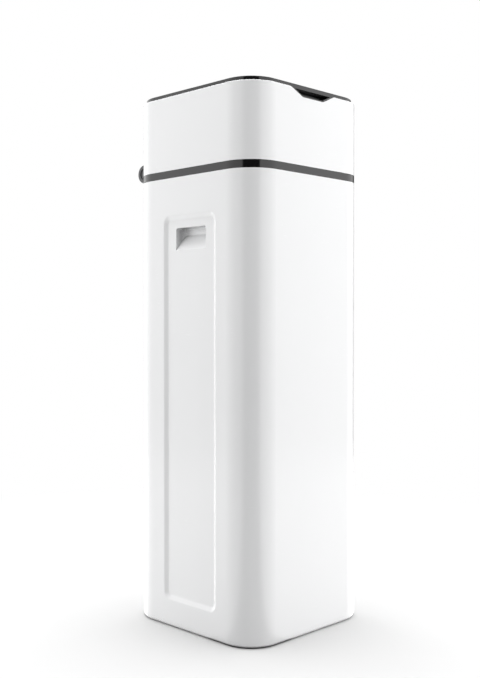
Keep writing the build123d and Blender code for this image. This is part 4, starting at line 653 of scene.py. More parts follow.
@dataclass
class Studio:
    """The camera, the pale floor, and the ring of soft panels that stands round the object.

    Lengths are in metres. Each panel has its angle in degrees and its strength. The angle is taken at the object, from
    the front corner that the camera faces, and is negative towards the left side.
    """

    eye: Place = (-1.43372, -1.40390, 0.62210)
    heading: float = math.radians(44.9277)
    pitch: float = math.radians(-0.9874)
    focal_pixels: float = 942.43
    image_height: float = 678.0
    film: float = 36.0
    facing: float = math.radians(225.0)
    ring_radius: float = 2.5
    ring_height: float = 2.8
    ring_steps: int = 120
    ring_full: float = 3.0
    ring_foot: float = 1.16
    ring_head: float = 0.8
    panels: tuple[Pair, ...] = (
        (-180, 0.5), (-150, 0.9), (-135, 2.0), (-105, 2.05), (-80, 1.75), (-60, 1.52), (-36, 1.4), (-29, 1.4),
        (-25, 0.02), (25, 0.02), (29, 1.9), (36, 1.95), (60, 1.95), (80, 2.05), (105, 2.15), (128, 1.6), (142, 0.13),
        (180, 0.12),
    )
    overhead: float = 0.45
    lamp_place: Place = (0.3, 0.3, 3.0)
    lamp_size: float = 2.4
    lamp_power: float = 100.0
    floor_size: float = 14.0
    floor_colour: float = 0.3
    floor_shown: float = 0.66
    floor_sheen: float = 1.16
    shadow_reach: Pair = (0.9, 1.6)

    def build(self) -> None:
        """Builds the camera, the world, the ring and the floor."""
        self.place_camera()
        self.light_world()
        self.stand_ring()
        self.hang_lamp()
        self.lay_floor()

    def place_camera(self) -> None:
        """Stands the camera where the photograph was taken."""
        camera = bpy.data.cameras.new("camera")
        camera.sensor_width = self.film
        camera.lens = self.focal_pixels * self.film / self.image_height
        eye = bpy.data.objects.new("camera", camera)
        ahead = Vector((math.cos(self.heading) * math.cos(self.pitch), math.sin(self.heading) * math.cos(self.pitch),
                        math.sin(self.pitch)))
        eye.location = self.eye
        eye.rotation_euler = ahead.to_track_quat("-Z", "Y").to_euler()
        bpy.context.scene.collection.objects.link(eye)
        bpy.context.scene.camera = eye

    def light_world(self) -> None:
        """Makes the surroundings white to look at and in reflections, and dim as a light from above."""
        world = bpy.data.worlds.new("studio")
        bpy.context.scene.world = world
        world.use_nodes = True
        sheet = Sheet(world.node_tree)
        background = sheet.tree.nodes["Background"]
        background.inputs["Color"].default_value = grey(1.0)
        inputs = {MIX_FACTOR: self.looked_at(sheet), MIX_FIRST_NUMBER: self.overhead, MIX_SECOND_NUMBER: 1.0}
        strength = sheet.add("ShaderNodeMix", inputs, data_type="FLOAT")
        sheet.feed(background, "Strength", strength.outputs[MIXED_NUMBER])

    def looked_at(self, sheet: Sheet) -> Socket:
        """Tells rays that look, straight or through gloss and glass, from those that light.

        Args:
            sheet: the material's or the world's sheet.

        Returns:
            1 for a ray that looks.
        """
        rays = sheet.add("ShaderNodeLightPath").outputs
        seen = sheet.math("MAXIMUM", rays["Is Camera Ray"], rays["Is Transmission Ray"])
        return sheet.math("MAXIMUM", seen, rays["Is Glossy Ray"])

    def stand_ring(self) -> None:
        """Stands the ring of panels round the object, unseen by the camera."""
        mesh = bpy.data.meshes.new("panel_ring")
        angles = round_angles(self.ring_steps)
        points = [around(self.ring_radius, angle, z) for z in (0.0, self.ring_height) for angle in angles]
        count = self.ring_steps
        faces = [(step, step + count, (step + 1) % count + count, (step + 1) % count) for step in range(count)]
        mesh.from_pydata(points, [], faces)
        ring = link_piece("panel_ring", mesh)
        material, sheet = open_material("panel_ring")
        sheet.tree.nodes.remove(sheet.tree.nodes["Principled BSDF"])
        place = sheet.here()
        inputs = {"Value": sheet.parts(place)["Z"], "From Min": 0.0, "From Max": self.ring_height,
                  "To Min": self.ring_foot * self.ring_full, "To Max": self.ring_head * self.ring_full}
        height = sheet.add("ShaderNodeMapRange", inputs).outputs["Result"]
        glow = sheet.add("ShaderNodeEmission", {"Color": grey(1.0)})
        sheet.feed(glow, "Strength", sheet.times(self.panel_level(sheet, place), height))
        clear = sheet.add("ShaderNodeBsdfTransparent")
        rays = sheet.add("ShaderNodeLightPath").outputs
        away = sheet.add("ShaderNodeNewGeometry").outputs["Backfacing"]
        hidden = sheet.math("MAXIMUM", rays["Is Camera Ray"], away)
        both = sheet.add("ShaderNodeMixShader", {0: hidden, 1: glow.outputs[0], 2: clear.outputs[0]})
        sheet.feed(sheet.tree.nodes["Material Output"], "Surface", both.outputs[0])
        mesh.materials.append(material)

    def panel_level(self, sheet: Sheet, place: Socket) -> Socket:
        """Works out how bright the panel is in the direction of a point.

        Args:
            sheet: the material's sheet.
            place: the point, seen from the object.

        Returns:
            The level, as a share of the fullest.
        """
        turned = sheet.add("ShaderNodeVectorRotate", {"Vector": place, "Angle": -self.facing}, rotation_type="Z_AXIS")
        parts = sheet.parts(turned.outputs[0])
        angle = sheet.math("ARCTAN2", parts["Y"], parts["X"])
        share = sheet.plus(sheet.math("DIVIDE", angle, FULL_TURN), 0.5)
        ramp = sheet.add("ShaderNodeValToRGB", {"Fac": share})
        self.fill_ramp(ramp.color_ramp)
        return ramp.outputs["Color"]

    def fill_ramp(self, ramp: bpy.types.ColorRamp) -> None:
        """Sets how bright the panels are at each angle from the front corner.

        Args:
            ramp: the ramp from half a turn one way to half a turn the other way.
        """
        ramp.interpolation = "LINEAR"
        for number, (angle, level) in enumerate(self.panels):
            place = angle / 360 + 0.5
            if number < 2:
                stop = ramp.elements[number]
                stop.position = place
            else:
                stop = ramp.elements.new(place)
            stop.color = grey(level / self.ring_full)

    def hang_lamp(self) -> None:
        """Hangs the wide lamp above and behind, which gives the floor its soft shadow."""
        light = bpy.data.lights.new("back_lamp", "AREA")
        light.size = self.lamp_size
        light.energy = self.lamp_power
        lamp = bpy.data.objects.new("back_lamp", light)
        lamp.location = self.lamp_place
        lamp.rotation_euler = Vector(self.lamp_place).to_track_quat("Z", "Y").to_euler()
        lamp.visible_camera = False
        bpy.context.scene.collection.objects.link(lamp)

    def lay_floor(self) -> None:
        """Lays the pale floor: white beyond the soft shadow, and in gloss it carries on the panels' pattern."""
        half = self.floor_size / 2
        mesh = bpy.data.meshes.new("floor")
        mesh.from_pydata([(-half, -half, 0), (half, -half, 0), (half, half, 0), (-half, half, 0)], [], [(0, 1, 2, 3)])
        floor = link_piece("floor", mesh)
        material, sheet = open_material("floor")
        shader = sheet.tree.nodes["Principled BSDF"]
        shader.inputs["Roughness"].default_value = 1.0
        shader.inputs["Specular IOR Level"].default_value = 0.0
        seen = self.looked_at(sheet)
        sheet.feed(shader, "Base Color", sheet.tint(seen, grey(self.floor_colour), grey(self.floor_shown)))
        place = sheet.here()
        glossy = sheet.add("ShaderNodeLightPath").outputs["Is Glossy Ray"]
        level = sheet.times(self.panel_level(sheet, place), self.floor_sheen * self.ring_full)
        sheen = sheet.add("ShaderNodeEmission", {"Strength": sheet.times(glossy, level)})
        lit = sheet.add("ShaderNodeAddShader", {0: shader.outputs[0], 1: sheen.outputs[0]})
        plain = sheet.add("ShaderNodeEmission", {"Strength": 1.0})
        far = sheet.add("ShaderNodeVectorMath", {0: place}, operation="LENGTH").outputs["Value"]
        straight = sheet.math("SUBTRACT", seen, glossy, clamp=True)
        beyond = sheet.times(sheet.spread(far, *self.shadow_reach), straight)
        both = sheet.add("ShaderNodeMixShader", {0: beyond, 1: lit.outputs[0], 2: plain.outputs[0]})
        sheet.feed(sheet.tree.nodes["Material Output"], "Surface", both.outputs[0])
        mesh.materials.append(material)


def stand(origin: Iterable[float], axis: Place = (0.0, 0.0, 1.0)) -> Matrix:
    """Gives the placement that carries the Z axis to an axis.

    Args:
        origin: a point on the axis.
        axis: its direction.

    Returns:
        The placement.
    """
    return Matrix.Translation(Vector(origin)) @ Vector(axis).to_track_quat("Z", "Y").to_matrix().to_4x4()


def around(radius: float, angle: float, z: float) -> Place:
    """Gives a point round the Z axis."""
    return radius * math.cos(angle), radius * math.sin(angle), z


def round_angles(steps: int, first: float = 0.0) -> list[float]:
    """Shares a full turn into even steps, the first of them moved on by a part of a step."""
    return [FULL_TURN * (step + first) / steps for step in range(steps)]


def oblong(x: float, y: float, width: float, length: float) -> list[Corner]:
    """Gives an oblong's corners from the middle of its lower side."""
    half = width / 2
    return [(x - half, y), (x + half, y), (x + half, y + length), (x - half, y + length)]


class Axis(Enum):
    """The directions that the round pieces behind the cabinet look in."""

    BACK = (0.0, 1.0, 0.0)
    FRONT = (0.0, -1.0, 0.0)


@dataclass(frozen=True)
class Ribs:
    """A ring of round grip ribs."""

    count: int
    radius: float
    steps: int
    first: float = 0.0


@dataclass(frozen=True)
class Thread:
    """The sizes of a pipe thread.

    The run is measured along the axis, and the ridge fades out at both of its ends. The shares are of the pitch, on
    each side of the ridge's middle.
    """

    crest: float
    depth: float
    pitch: float
    run: float
    foot_share: float = 0.46
    land_share: float = 0.09
    sunk: float = 0.2 * MM
    fade_turns: float = 0.5
    least_fade: float = 0.05

    def section(self, fade: float) -> tuple[Corner, ...]:
        """Gives the ridge's section, as distance from the axis and place along it.

        Args:
            fade: how much of the full depth the ridge has.

        Returns:
            The four corners.
        """
        root = self.crest - self.depth
        top = root + self.depth * fade
        foot, land = self.foot_share * self.pitch, self.land_share * self.pitch
        return (root - self.sunk, -foot), (top, -land), (top, land), (root - self.sunk, foot)


class Former:
    """Forms one piece's mesh from turned, wound, pressed and stood shapes."""

    def __init__(self, name: str) -> None:
        """Starts an empty mesh.

        Args:
            name: the piece's name.
        """
        self.name = name
        self.work = bmesh.new()

    def ring(self, corners: Iterable[Iterable[float]], place: Matrix) -> list[bmesh.types.BMVert]:
        """Adds a closed row of corners, not yet joined to another."""
        return [self.work.verts.new(place @ Vector(corner)) for corner in corners]

    def bridge(self, rings: list[list[bmesh.types.BMVert]], endless: bool) -> None:
        """Joins each row of corners to the next one.

        Args:
            rings: the rows, each with as many corners.
            endless: whether the last joins the first; otherwise both ends are closed.
        """
        pairs = list(zip(rings, rings[1:]))
        if endless:
            pairs.append((rings[-1], rings[0]))
        count = len(rings[0])
        for first, second in pairs:
            for corner in range(count):
                beside = (corner + 1) % count
                self.work.faces.new((first[corner], second[corner], second[beside], first[beside]))
        if not endless:
            self.work.faces.new(rings[0])
            self.work.faces.new(rings[-1])

    def turn(self, profile: Iterable[Corner], place: Matrix, steps: int = 64) -> None:
        """Turns a closed profile round an axis.

        Args:
            profile: distance from the axis and place along it, of each corner.
            place: carries the Z axis to the real axis.
            steps: how many faces go round.
        """
        corners = list(profile)
        self.bridge([self.ring((around(r, angle, z) for r, z in corners), place) for angle in round_angles(steps)],
                    endless=True)

    def wind(self, thread: Thread, place: Matrix, steps: int = 48) -> None:
        """Winds a thread's ridge round an axis.

        Args:
            thread: the thread's sizes.
            place: carries the Z axis to the thread's axis, from where the run starts.
            steps: how many faces go round in a turn.
        """
        turns = thread.run / thread.pitch - 1
        count = round(turns * steps)
        rings = []
        for step in range(count + 1):
            share = step / count
            fade = min(1.0, thread.least_fade + turns * min(share, 1 - share) / thread.fade_turns)
            angle = FULL_TURN * turns * share
            rise = thread.pitch * (0.5 + turns * share)
            rings.append(self.ring((around(r, angle, z + rise) for r, z in thread.section(fade)), place))
        self.bridge(rings, endless=False)

    def bar(self, radius: float, low: float, high: float, place: Matrix, steps: int, round_off: float = 0.3) -> None:
        """Stands a round bar with softened ends.

        Args:
            radius: the bar's radius.
            low: where it starts along the axis.
            high: where it ends.
            place: carries the Z axis to the bar's axis.
            steps: how many faces go round.
            round_off: the softening over the radius.
        """
        soft = radius * round_off
        rows = ((radius - soft, low), (radius, low + soft), (radius, high - soft), (radius - soft, high))
        self.bridge([self.ring((around(r, angle, z) for angle in round_angles(steps)), place) for r, z in rows],
                    endless=False)

    def rib(self, ribs: Ribs, reach: float, low: float, high: float, place: Matrix) -> None:
        """Stands grip ribs round an axis.

        Args:
            ribs: how many there are, and of what size.
            reach: how far they stand from the axis.
            low: where they start along the axis.
            high: where they end.
            place: carries the Z axis to the real axis.
        """
        for angle in round_angles(ribs.count, ribs.first):
            beside = Matrix.Translation(around(reach, angle, 0.0))
            self.bar(ribs.radius, low, high, place @ beside, ribs.steps)

    def raise_shape(self, outline: Iterable[Corner], low: float, high: float, place: Matrix = Matrix.Identity(4),
                    slope: float = 0.0) -> None:
        """Raises a flat outline into a solid whose sides lean in a little.

        Args:
            outline: the corners in order.
            low: where the solid starts.
            high: where it ends.
            place: carries the outline to where it stands.
            slope: how much smaller the upper outline is, as a share.
        """
        corners = [Vector(corner) for corner in outline]
        middle = sum(corners, Vector((0.0, 0.0))) / len(corners)
        upper = [corner.lerp(middle, slope) for corner in corners]
        self.bridge([self.ring(((*c, low) for c in corners), place), self.ring(((*c, high) for c in upper), place)],
                    endless=False)

    def block(self, centre: Corner, size: Place, low: float, edge: float = 0.3 * MM) -> None:
        """Stands a moulded block with cut corners and softened upper edges.

        Args:
            centre: its middle in plan.
            size: its width, length and height.
            low: the height that it stands on.
            edge: the width of its cut edges.
        """
        (x, y), (width, length, height) = centre, size

        def corners(inset: float) -> list[Corner]:
            """Gives the plan's eight corners.

            Args:
                inset: how far they are drawn in.

            Returns:
                The corners in order.
            """
            across, along = width / 2 - inset, length / 2 - inset
            cut_across, cut_along = across - edge, along - edge
            half = [(-cut_across, -along), (cut_across, -along), (across, -cut_along), (across, cut_along)]
            return [(x + side * dx, y + side * dy) for side in (1, -1) for dx, dy in half]

        rows = ((0.0, low), (0.0, low + height - edge), (edge, low + height))
        self.bridge([self.ring(((*c, z) for c in corners(inset)), Matrix.Identity(4)) for inset, z in rows],
                    endless=False)

    def finish(self, sharp: float = 35.0) -> bpy.types.Object:
        """Turns the work into a piece with smooth faces and sharp edges.

        Args:
            sharp: the least angle in degrees that stays a sharp edge.

        Returns:
            The piece, in the scene.
        """
        bmesh.ops.recalc_face_normals(self.work, faces=self.work.faces)
        mesh = bpy.data.meshes.new(self.name)
        self.work.to_mesh(mesh)
        self.work.free()
        mesh.shade_smooth()
        mesh.set_sharp_from_angle(angle=math.radians(sharp))
        return link_piece(self.name, mesh)


@dataclass
class SubAssembly:
    """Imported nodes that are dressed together, with the finer pieces that they carry."""

    dresser: Dresser
    nodes: tuple[str, ...] = ()

    def build(self) -> None:
        """Dresses the nodes, then adds the finer pieces."""
        for name in self.nodes:
            self.dresser.dress_node(name)
        log.info("%s: %d nodes dressed", type(self).__name__, len(self.nodes))
        self.add_pieces()

    def add_pieces(self) -> None:
        """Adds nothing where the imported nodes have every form."""


@dataclass
class Casing(SubAssembly):
    """The shells that show from outside, the deck and chute inside them, and their screws."""

    nodes: tuple[str, ...] = (
        "base_ring", "cabinet_body", "belt_ring", "top_cover", "inner_deck", "salt_chute", "case_screws",
        "small_screws", "hinge_pins", "port_plate", "cable_grommet", "salt_grid",
    )


@dataclass
class Lid(SubAssembly):
    """The dark lid with its liner and bumpers."""

    nodes: tuple[str, ...] = ("lid_panel", "lid_liner", "lid_bumpers")


class Mark(Enum):
    """The raised marks on the four buttons, as outlines over the mark's half width."""

    UP = (((-1.0, -0.55), (0.0, 0.15), (1.0, -0.55), (1.0, 0.05), (0.0, 0.75), (-1.0, 0.05)),)
    DOWN = (((-1.0, 0.55), (-1.0, -0.05), (0.0, -0.75), (1.0, -0.05), (1.0, 0.55), (0.0, -0.15)),)
    LIST = tuple(oblong(0.0, foot, 1.8, 0.3) for foot in (0.45, -0.15, -0.75))
    TICK = (((-0.95, 0.05), (-0.6, 0.4), (-0.25, 0.05), (0.6, 0.85), (0.95, 0.5), (-0.25, -0.7)),)


@dataclass
class ControlPod(SubAssembly):
    """The pod on the deck: display, buttons and the board with its parts."""

    nodes: tuple[str, ...] = (
        "control_pod", "display_lens", "display_module", "circuit_board", "tact_switches", "button_1", "button_2",
        "button_3", "button_4",
    )
    marks: tuple[Mark, ...] = (Mark.UP, Mark.DOWN, Mark.LIST, Mark.TICK)
    mark_half: float = 3.0 * MM
    mark_height: float = 0.2 * MM
    mark_sunk: float = 0.05 * MM
    mark_slope: float = 0.03
    digit_width: float = 9.0 * MM
    digit_height: float = 17.0 * MM
    digit_step: float = 13.5 * MM
    digit_lean: float = 0.12
    digit_rise: float = 5.0 * MM
    colon_shares: Pair = (0.3, 0.7)
    segment: float = 1.9 * MM
    segment_gap: float = 0.25 * MM
    segment_height: float = 0.12 * MM
    time_shown: str = "12:40"
    gauge_steps: int = 8
    gauge_full: int = 5
    gauge_size: Pair = (5.6 * MM, 4.0 * MM)
    gauge_gap: float = 1.2 * MM
    gauge_foot: float = 5.5 * MM
    gauge_low: float = 0.3
    chip_rows: tuple[tuple[Corner, Place], ...] = (
        ((38 * MM, 62 * MM), (13 * MM, 10 * MM, 1.6 * MM)), ((62 * MM, 62 * MM), (8 * MM, 6 * MM, 1.3 * MM)),
        ((5 * MM, 30 * MM), (6 * MM, 8 * MM, 1.3 * MM)),
    )
    chip_lift: float = 0.1 * MM
    leg_pitch: float = 1.27 * MM
    leg_margin: float = 2.0 * MM
    leg_reach: float = 0.5 * MM
    leg_size: Place = (0.45 * MM, 1.4 * MM, 0.5 * MM)
    leg_edge: float = 0.1 * MM
    can_places: tuple[Corner, ...] = ((80 * MM, 64 * MM), (87.5 * MM, 64 * MM), (5 * MM, 60 * MM), (5 * MM, 50 * MM))
    can_radius: float = 2.6 * MM
    can_height: float = 5.4 * MM
    plug_places: tuple[Corner, ...] = ((30 * MM, 17 * MM), (52 * MM, 17 * MM), (74 * MM, 17 * MM))
    plug_size: Place = (12.0 * MM, 6.0 * MM, 5.6 * MM)
    plug_wall: float = 1.0 * MM
    plug_floor: float = 1.5 * MM
    pins: int = 4
    pin_pitch: float = 2.5 * MM
    pin_size: Place = (0.64 * MM, 0.64 * MM, 4.8 * MM)

    def add_pieces(self) -> None:
        """Adds the display's segments, the buttons' marks and the board's parts."""
        self.light_segments()
        for number, mark in enumerate(self.marks, start=1):
            self.raise_mark(f"button_{number}", mark)
        self.fill_board()

    def light_segments(self) -> None:
        """Lays the time and the salt gauge on the display, under the lens."""
        low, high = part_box("display_module")
        centre = (low + high) / 2
        work = Former("display_segments")
        shown = [self.segment_bars(sign) for sign in self.time_shown]
        left = centre.x - self.digit_step * (len(shown) - 1) / 2 - self.digit_width / 2
        foot = centre.y - self.digit_height / 2 + self.digit_rise
        for number, bars in enumerate(shown):
            for outline in bars:
                start = left + number * self.digit_step
                leaning = [(start + x + self.digit_lean * y, foot + y) for x, y in outline]
                work.raise_shape(leaning, high.z, high.z + self.segment_height)
        width, length = self.gauge_size
        for step in range(self.gauge_steps):
            x = centre.x + (step - (self.gauge_steps - 1) / 2) * (width + self.gauge_gap)
            shown_length = length if step < self.gauge_full else length * self.gauge_low
            work.raise_shape(oblong(x, low.y + self.gauge_foot, width, shown_length), high.z,
                             high.z + self.segment_height)
        self.dresser.dress_piece(work.finish(), "display_panel", finish="display_ink")

    def segment_bars(self, sign: str) -> list[list[Corner]]:
        """Gives the bars of one sign of the display.

        Args:
            sign: a figure or a colon.

        Returns:
            The bars' outlines, from the sign's lower left corner.
        """
        width, height, half = self.digit_width, self.digit_height, self.segment / 2
        if sign == ":":
            return [oblong(width / 2, height * share - half, 2 * half, 2 * half) for share in self.colon_shares]
        knots = {"a": ((0, 2), (1, 2)), "b": ((1, 1), (1, 2)), "c": ((1, 0), (1, 1)), "d": ((0, 0), (1, 0)),
                 "e": ((0, 0), (0, 1)), "f": ((0, 1), (0, 2)), "g": ((0, 1), (1, 1))}
        lit = {"0": "abcdef", "1": "bc", "2": "abdeg", "3": "abcdg", "4": "bcfg", "5": "acdfg", "6": "acdefg",
               "7": "abc", "8": "abcdefg", "9": "abcdfg"}
        bars = []
        for name in lit[sign]:
            start, end = (Vector((x * width, y * height / 2)) for x, y in knots[name])
            along = (end - start).normalized()
            across = Vector((-along.y, along.x)) * half
            start, end = start + along * self.segment_gap, end - along * self.segment_gap
            bars.append([tuple(corner) for corner in (
                start, start + along * half - across, end - along * half - across, end, end - along * half + across,
                start + along * half + across)])
        return bars

    def raise_mark(self, button: str, mark: Mark) -> None:
        """Raises a button's mark, which moves with the button.

        Args:
            button: the button's node and body.
            mark: its mark.
        """
        low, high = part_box(button)
        centre = (low + high) / 2
        work = Former(f"{button}_mark")
        for outline in mark.value:
            points = [(centre.x + x * self.mark_half, centre.y + y * self.mark_half) for x, y in outline]
            work.raise_shape(points, high.z - self.mark_sunk, high.z + self.mark_height, slope=self.mark_slope)
        self.dresser.dress_piece(work.finish(), "button_grey", button, finish="pale_mark")

    def fill_board(self) -> None:
        """Stands the chips, cans and plugs on the board."""
        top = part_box("circuit_board")[1].z
        chips, legs = Former("board_chips"), Former("board_legs")
        for (x, y), (width, length, height) in self.chip_rows:
            chips.block((x, y), (width, length, height), top + self.chip_lift)
            count = int((width - self.leg_margin) / self.leg_pitch)
            for step in range(count):
                leg_x = x + (step - (count - 1) / 2) * self.leg_pitch
                for side in (-1, 1):
                    leg_y = y + side * (length / 2 + self.leg_reach)
                    legs.block((leg_x, leg_y), self.leg_size, top, edge=self.leg_edge)
        self.dresser.dress_piece(chips.finish(), "dark_matte")
        cans = Former("board_cans")
        for place in self.can_places:
            cans.bar(self.can_radius, top, top + self.can_height, stand((*place, 0.0)), steps=28, round_off=0.15)
        self.dresser.dress_piece(cans.finish(), "motor_steel")
        plugs = Former("board_plugs")
        width, length, height = self.plug_size
        wall_y = (length - self.plug_wall) / 2
        for x, y in self.plug_places:
            for side in (-1, 1):
                plugs.block((x, y + side * wall_y), (width, self.plug_wall, height), top)
            plugs.block((x, y), (width, length, self.plug_floor), top)
            for step in range(self.pins):
                pin_x = x + (step - (self.pins - 1) / 2) * self.pin_pitch
                legs.block((pin_x, y), self.pin_size, top, edge=self.leg_edge)
        self.dresser.dress_piece(plugs.finish(), "gear_plastic")
        self.dresser.dress_piece(legs.finish(), "screw_steel")


@dataclass
class ResinTank(SubAssembly):
    """The wound tank, its foot and what stands inside it."""

    nodes: tuple[str, ...] = ("resin_tank", "tank_foot", "resin_bed", "riser_tube", "lower_strainer", "upper_strainer")
    rib_pitch: float = 2.4 * MM
    rib_width: float = 0.9 * MM
    rib_depth: float = 1.6 * MM
    rib_proud: float = 0.15 * MM
    end_margin: float = 8.0 * MM

    def add_pieces(self) -> None:
        """Rings both strainers with the fine ribs between their slits."""
        for name in ("lower_strainer", "upper_strainer"):
            low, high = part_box(name)
            centre = (low + high) / 2
            outer = (high.x - low.x) / 2 + self.rib_proud
            work = Former(f"{name}_ribs")
            count = int((high.z - low.z - 2 * self.end_margin) / self.rib_pitch)
            for step in range(count + 1):
                foot = low.z + self.end_margin + step * self.rib_pitch
                work.turn(oblong(outer - self.rib_depth / 2, foot, self.rib_depth, self.rib_width),
                          stand((centre.x, centre.y, 0.0)))
            self.dresser.dress_piece(work.finish(), "natural_plastic")


@dataclass
class ControlValve(SubAssembly):
    """The control valve with its drive."""

    nodes: tuple[str, ...] = (
        "valve_body", "valve_stator", "valve_rotor", "valve_cover", "valve_screws", "drive_gear", "motor_pinion",
        "motor_bracket", "drive_motor", "position_switch", "injector_cap",
    )
    collar_ribs: Ribs = Ribs(count=28, radius=1.5 * MM, steps=12, first=0.5)
    collar_radius: float = 42.0 * MM
    collar_margin: float = 2.0 * MM
    collar_height: float = 20.0 * MM
    block_height: float = 54.0 * MM
    cap_ribs: Ribs = Ribs(count=20, radius=0.9 * MM, steps=10)
    cap_dome: float = 4.0 * MM
    arrow_half: float = 4.0 * MM
    arrow_length: float = 18.0 * MM
    arrow_neck: float = 1.4 * MM
    arrow_head: float = 5.2 * MM
    arrow_sunk: float = 0.1 * MM
    arrow_height: float = 0.6 * MM
    arrow_inset: float = 7.5 * MM
    arrow_slope: float = 0.04
    tab_size: Place = (0.6 * MM, 3.2 * MM, 3.4 * MM)
    tab_edge: float = 0.1 * MM
    tab_reach: float = 11.0 * MM

    def add_pieces(self) -> None:
        """Adds the collar's ribs, the cap's grip, the flow arrows and the motor's tabs."""
        low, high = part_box("valve_cover")
        self.rib_collar((low + high) / 2, low.z - self.block_height)
        self.rib_cap()
        self.raise_arrows(low, high)
        self.stand_tabs()

    def rib_collar(self, centre: Vector, block_foot: float) -> None:
        """Stands the grip ribs round the collar over the tank's neck.

        Args:
            centre: a point on the collar's axis.
            block_foot: the height of the valve block's underside.
        """
        work = Former("valve_collar_ribs")
        work.rib(self.collar_ribs, self.collar_radius, block_foot - self.collar_height + self.collar_margin,
                 block_foot - self.collar_margin, stand((centre.x, centre.y, 0.0)))
        self.dresser.dress_piece(work.finish(), "valve_black")

    def rib_cap(self) -> None:
        """Lays the grip ribs round the injector's cap."""
        low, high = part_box("injector_cap")
        centre, radius = (low + high) / 2, (high.x - low.x) / 2
        work = Former("injector_cap_ribs")
        work.rib(self.cap_ribs, radius, 0.0, high.y - low.y - self.cap_dome,
                 stand((centre.x, high.y, centre.z), Axis.FRONT.value))
        self.dresser.dress_piece(work.finish(), "valve_black")

    def raise_arrows(self, low: Vector, high: Vector) -> None:
        """Raises the arrows that show which way the water flows through each side.

        Args:
            low: the valve cover's lowest corner, level with the block's upper face.
            high: its highest corner.
        """
        half, neck, tip = self.arrow_half, self.arrow_neck, self.arrow_length / 2
        shoulder = tip - self.arrow_head
        outline = ((-neck, -tip), (neck, -tip), (neck, shoulder), (half, shoulder), (0.0, tip), (-half, shoulder),
                   (-neck, shoulder))
        y = (low.y + high.y) / 2
        work = Former("flow_arrows")
        for way in (-1, 1):
            x = way * (high.x + self.arrow_inset)
            points = [(x + way * across, y + way * along) for across, along in outline]
            work.raise_shape(points, low.z - self.arrow_sunk, low.z + self.arrow_height, slope=self.arrow_slope)
        self.dresser.dress_piece(work.finish(), "valve_black")

    def stand_tabs(self) -> None:
        """Stands the two terminal tabs on the motor."""
        low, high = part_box("drive_motor")
        centre = (low + high) / 2
        work = Former("motor_tabs")
        for side in (-1, 1):
            work.block((centre.x, centre.y + side * self.tab_reach), self.tab_size, high.z, edge=self.tab_edge)
        self.dresser.dress_piece(work.finish(), "screw_steel")


@dataclass
class BypassValve(SubAssembly):
    """The bypass behind the cabinet, with its threaded stubs and the flow meter in its outlet."""

    nodes: tuple[str, ...] = ("bypass_plunger", "bypass_knobs", "port_clips", "flow_turbine", "turbine_support")
    stub_x: float = 38.0 * MM
    stub_length: float = 22.0 * MM
    thread: Thread = Thread(crest=16.62 * MM, depth=1.48 * MM, pitch=2.31 * MM, run=21.6 * MM)
    slack: float = 0.1 * MM
    crest_slack: float = 0.2 * MM

    def add_pieces(self) -> None:
        """Casts the body with its stubs at the thread's root, and winds the threads."""
        body = self.cast_body()
        self.dresser.dress_piece(body, "valve_black", "cabinet", "bypass_body")
        low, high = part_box("bypass_body")
        work = Former("stub_threads")
        for side in (-1, 1):
            start = (side * self.stub_x, high.y - self.stub_length, (low.z + high.z) / 2)
            work.wind(self.thread, stand(start, Axis.BACK.value))
        self.dresser.dress_piece(work.finish(sharp=20.0), "valve_black")

    def cast_body(self) -> bpy.types.Object:
        """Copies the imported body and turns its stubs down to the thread's root.

        Returns:
            The copy, in the scene.
        """
        mesh = frame["nodes"]["bypass_body"].data.copy()
        low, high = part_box("bypass_body")
        axis_z = (low.z + high.z) / 2
        root = self.thread.crest - self.thread.depth
        for vertex in mesh.vertices:
            side = math.copysign(self.stub_x, vertex.co.x)
            out = Vector((vertex.co.x - side, vertex.co.z - axis_z))
            on_stub = vertex.co.y > high.y - self.stub_length - self.slack
            if on_stub and abs(out.length - self.thread.crest) < self.crest_slack:
                out *= root / out.length
                vertex.co.x, vertex.co.z = side + out.x, axis_z + out.y
        return link_piece("bypass_casting", mesh)


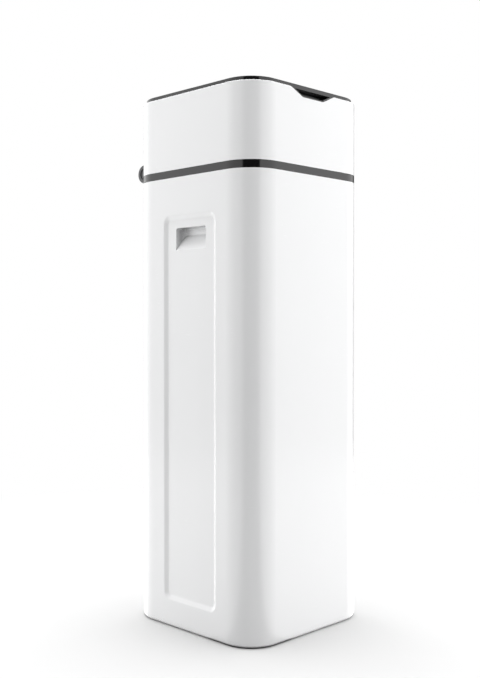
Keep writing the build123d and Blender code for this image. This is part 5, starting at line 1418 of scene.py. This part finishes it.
@dataclass
class RearFittings(SubAssembly):
    """The drain outlet and the overflow in the cabinet's back, whose barbs' crests and ends are shares of a step."""

    nodes: tuple[str, ...] = ("drain_outlet", "overflow_fitting", "overflow_seal", "overflow_nut")
    barbs: int = 4
    barb_pitch: float = 4.6 * MM
    barb_height: float = 0.7 * MM
    barb_sunk: float = 0.4 * MM
    barb_margin: float = 2.0 * MM
    barb_crest: float = 0.8
    barb_end: float = 0.86
    barb_lip: float = 0.8
    drain_radius: float = 6.75 * MM
    overflow_radius: float = 8.0 * MM
    nut_ribs: Ribs = Ribs(count=12, radius=1.2 * MM, steps=10)
    nut_margin: float = 0.5 * MM

    def add_pieces(self) -> None:
        """Adds the hose barbs and the nut's grip ribs."""
        for node, radius in (("drain_outlet", self.drain_radius), ("overflow_fitting", self.overflow_radius)):
            low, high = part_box(node)
            work = Former(f"{node}_barbs")
            place = stand(((low.x + high.x) / 2, high.y, (low.z + high.z) / 2), Axis.FRONT.value)
            inner, outer = radius - self.barb_sunk, radius + self.barb_height
            for step in range(self.barbs):
                tip = self.barb_margin + step * self.barb_pitch
                crest, end = (tip + self.barb_pitch * share for share in (self.barb_crest, self.barb_end))
                lip = radius + self.barb_height * self.barb_lip
                work.turn(((inner, tip), (radius, tip), (outer, crest), (lip, end), (inner, end)), place)
            self.dresser.dress_piece(work.finish(), "valve_black")
        low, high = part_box("overflow_nut")
        centre, radius = (low + high) / 2, (high.x - low.x) / 2
        work = Former("overflow_nut_ribs")
        work.rib(self.nut_ribs, radius, self.nut_margin, high.y - low.y - self.nut_margin,
                 stand((centre.x, low.y, centre.z), Axis.BACK.value))
        self.dresser.dress_piece(work.finish(), "valve_black")


@dataclass
class BrineSide(SubAssembly):
    """The brine well, the float valve with its float, and the two lines."""

    nodes: tuple[str, ...] = (
        "brine_well", "well_cap", "float_valve", "brine_pickup", "float_rod", "brine_float", "brine_line", "drain_line",
    )
    cap_ribs: Ribs = Ribs(count=36, radius=0.9 * MM, steps=8)
    cap_plate: float = 3.0 * MM
    cap_margin: float = 0.3 * MM

    def add_pieces(self) -> None:
        """Ribs the edge of the well's cap, so that it can be gripped."""
        low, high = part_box("well_cap")
        centre, radius = (low + high) / 2, (high.x - low.x) / 2
        work = Former("well_cap_ribs")
        work.rib(self.cap_ribs, radius, high.z - self.cap_plate, high.z - self.cap_margin,
                 stand((centre.x, centre.y, 0.0)))
        self.dresser.dress_piece(work.finish(), "natural_plastic")


def main() -> None:
    """Builds the studio, then dresses the softener piece by piece."""
    logging.basicConfig(level=logging.INFO, format="%(message)s")
    bpy.context.scene.view_settings.view_transform = "Standard"
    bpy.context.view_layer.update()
    Studio().build()
    slots = {part["node"]: part["material_slot"] for part in frame["record"]["subparts"]}
    dresser = Dresser(FINISHES, slots)
    for made in (Casing, Lid, ControlPod, ResinTank, ControlValve, BypassValve, RearFittings, BrineSide):
        made(dresser).build()


if __name__ == "__main__":
    main()
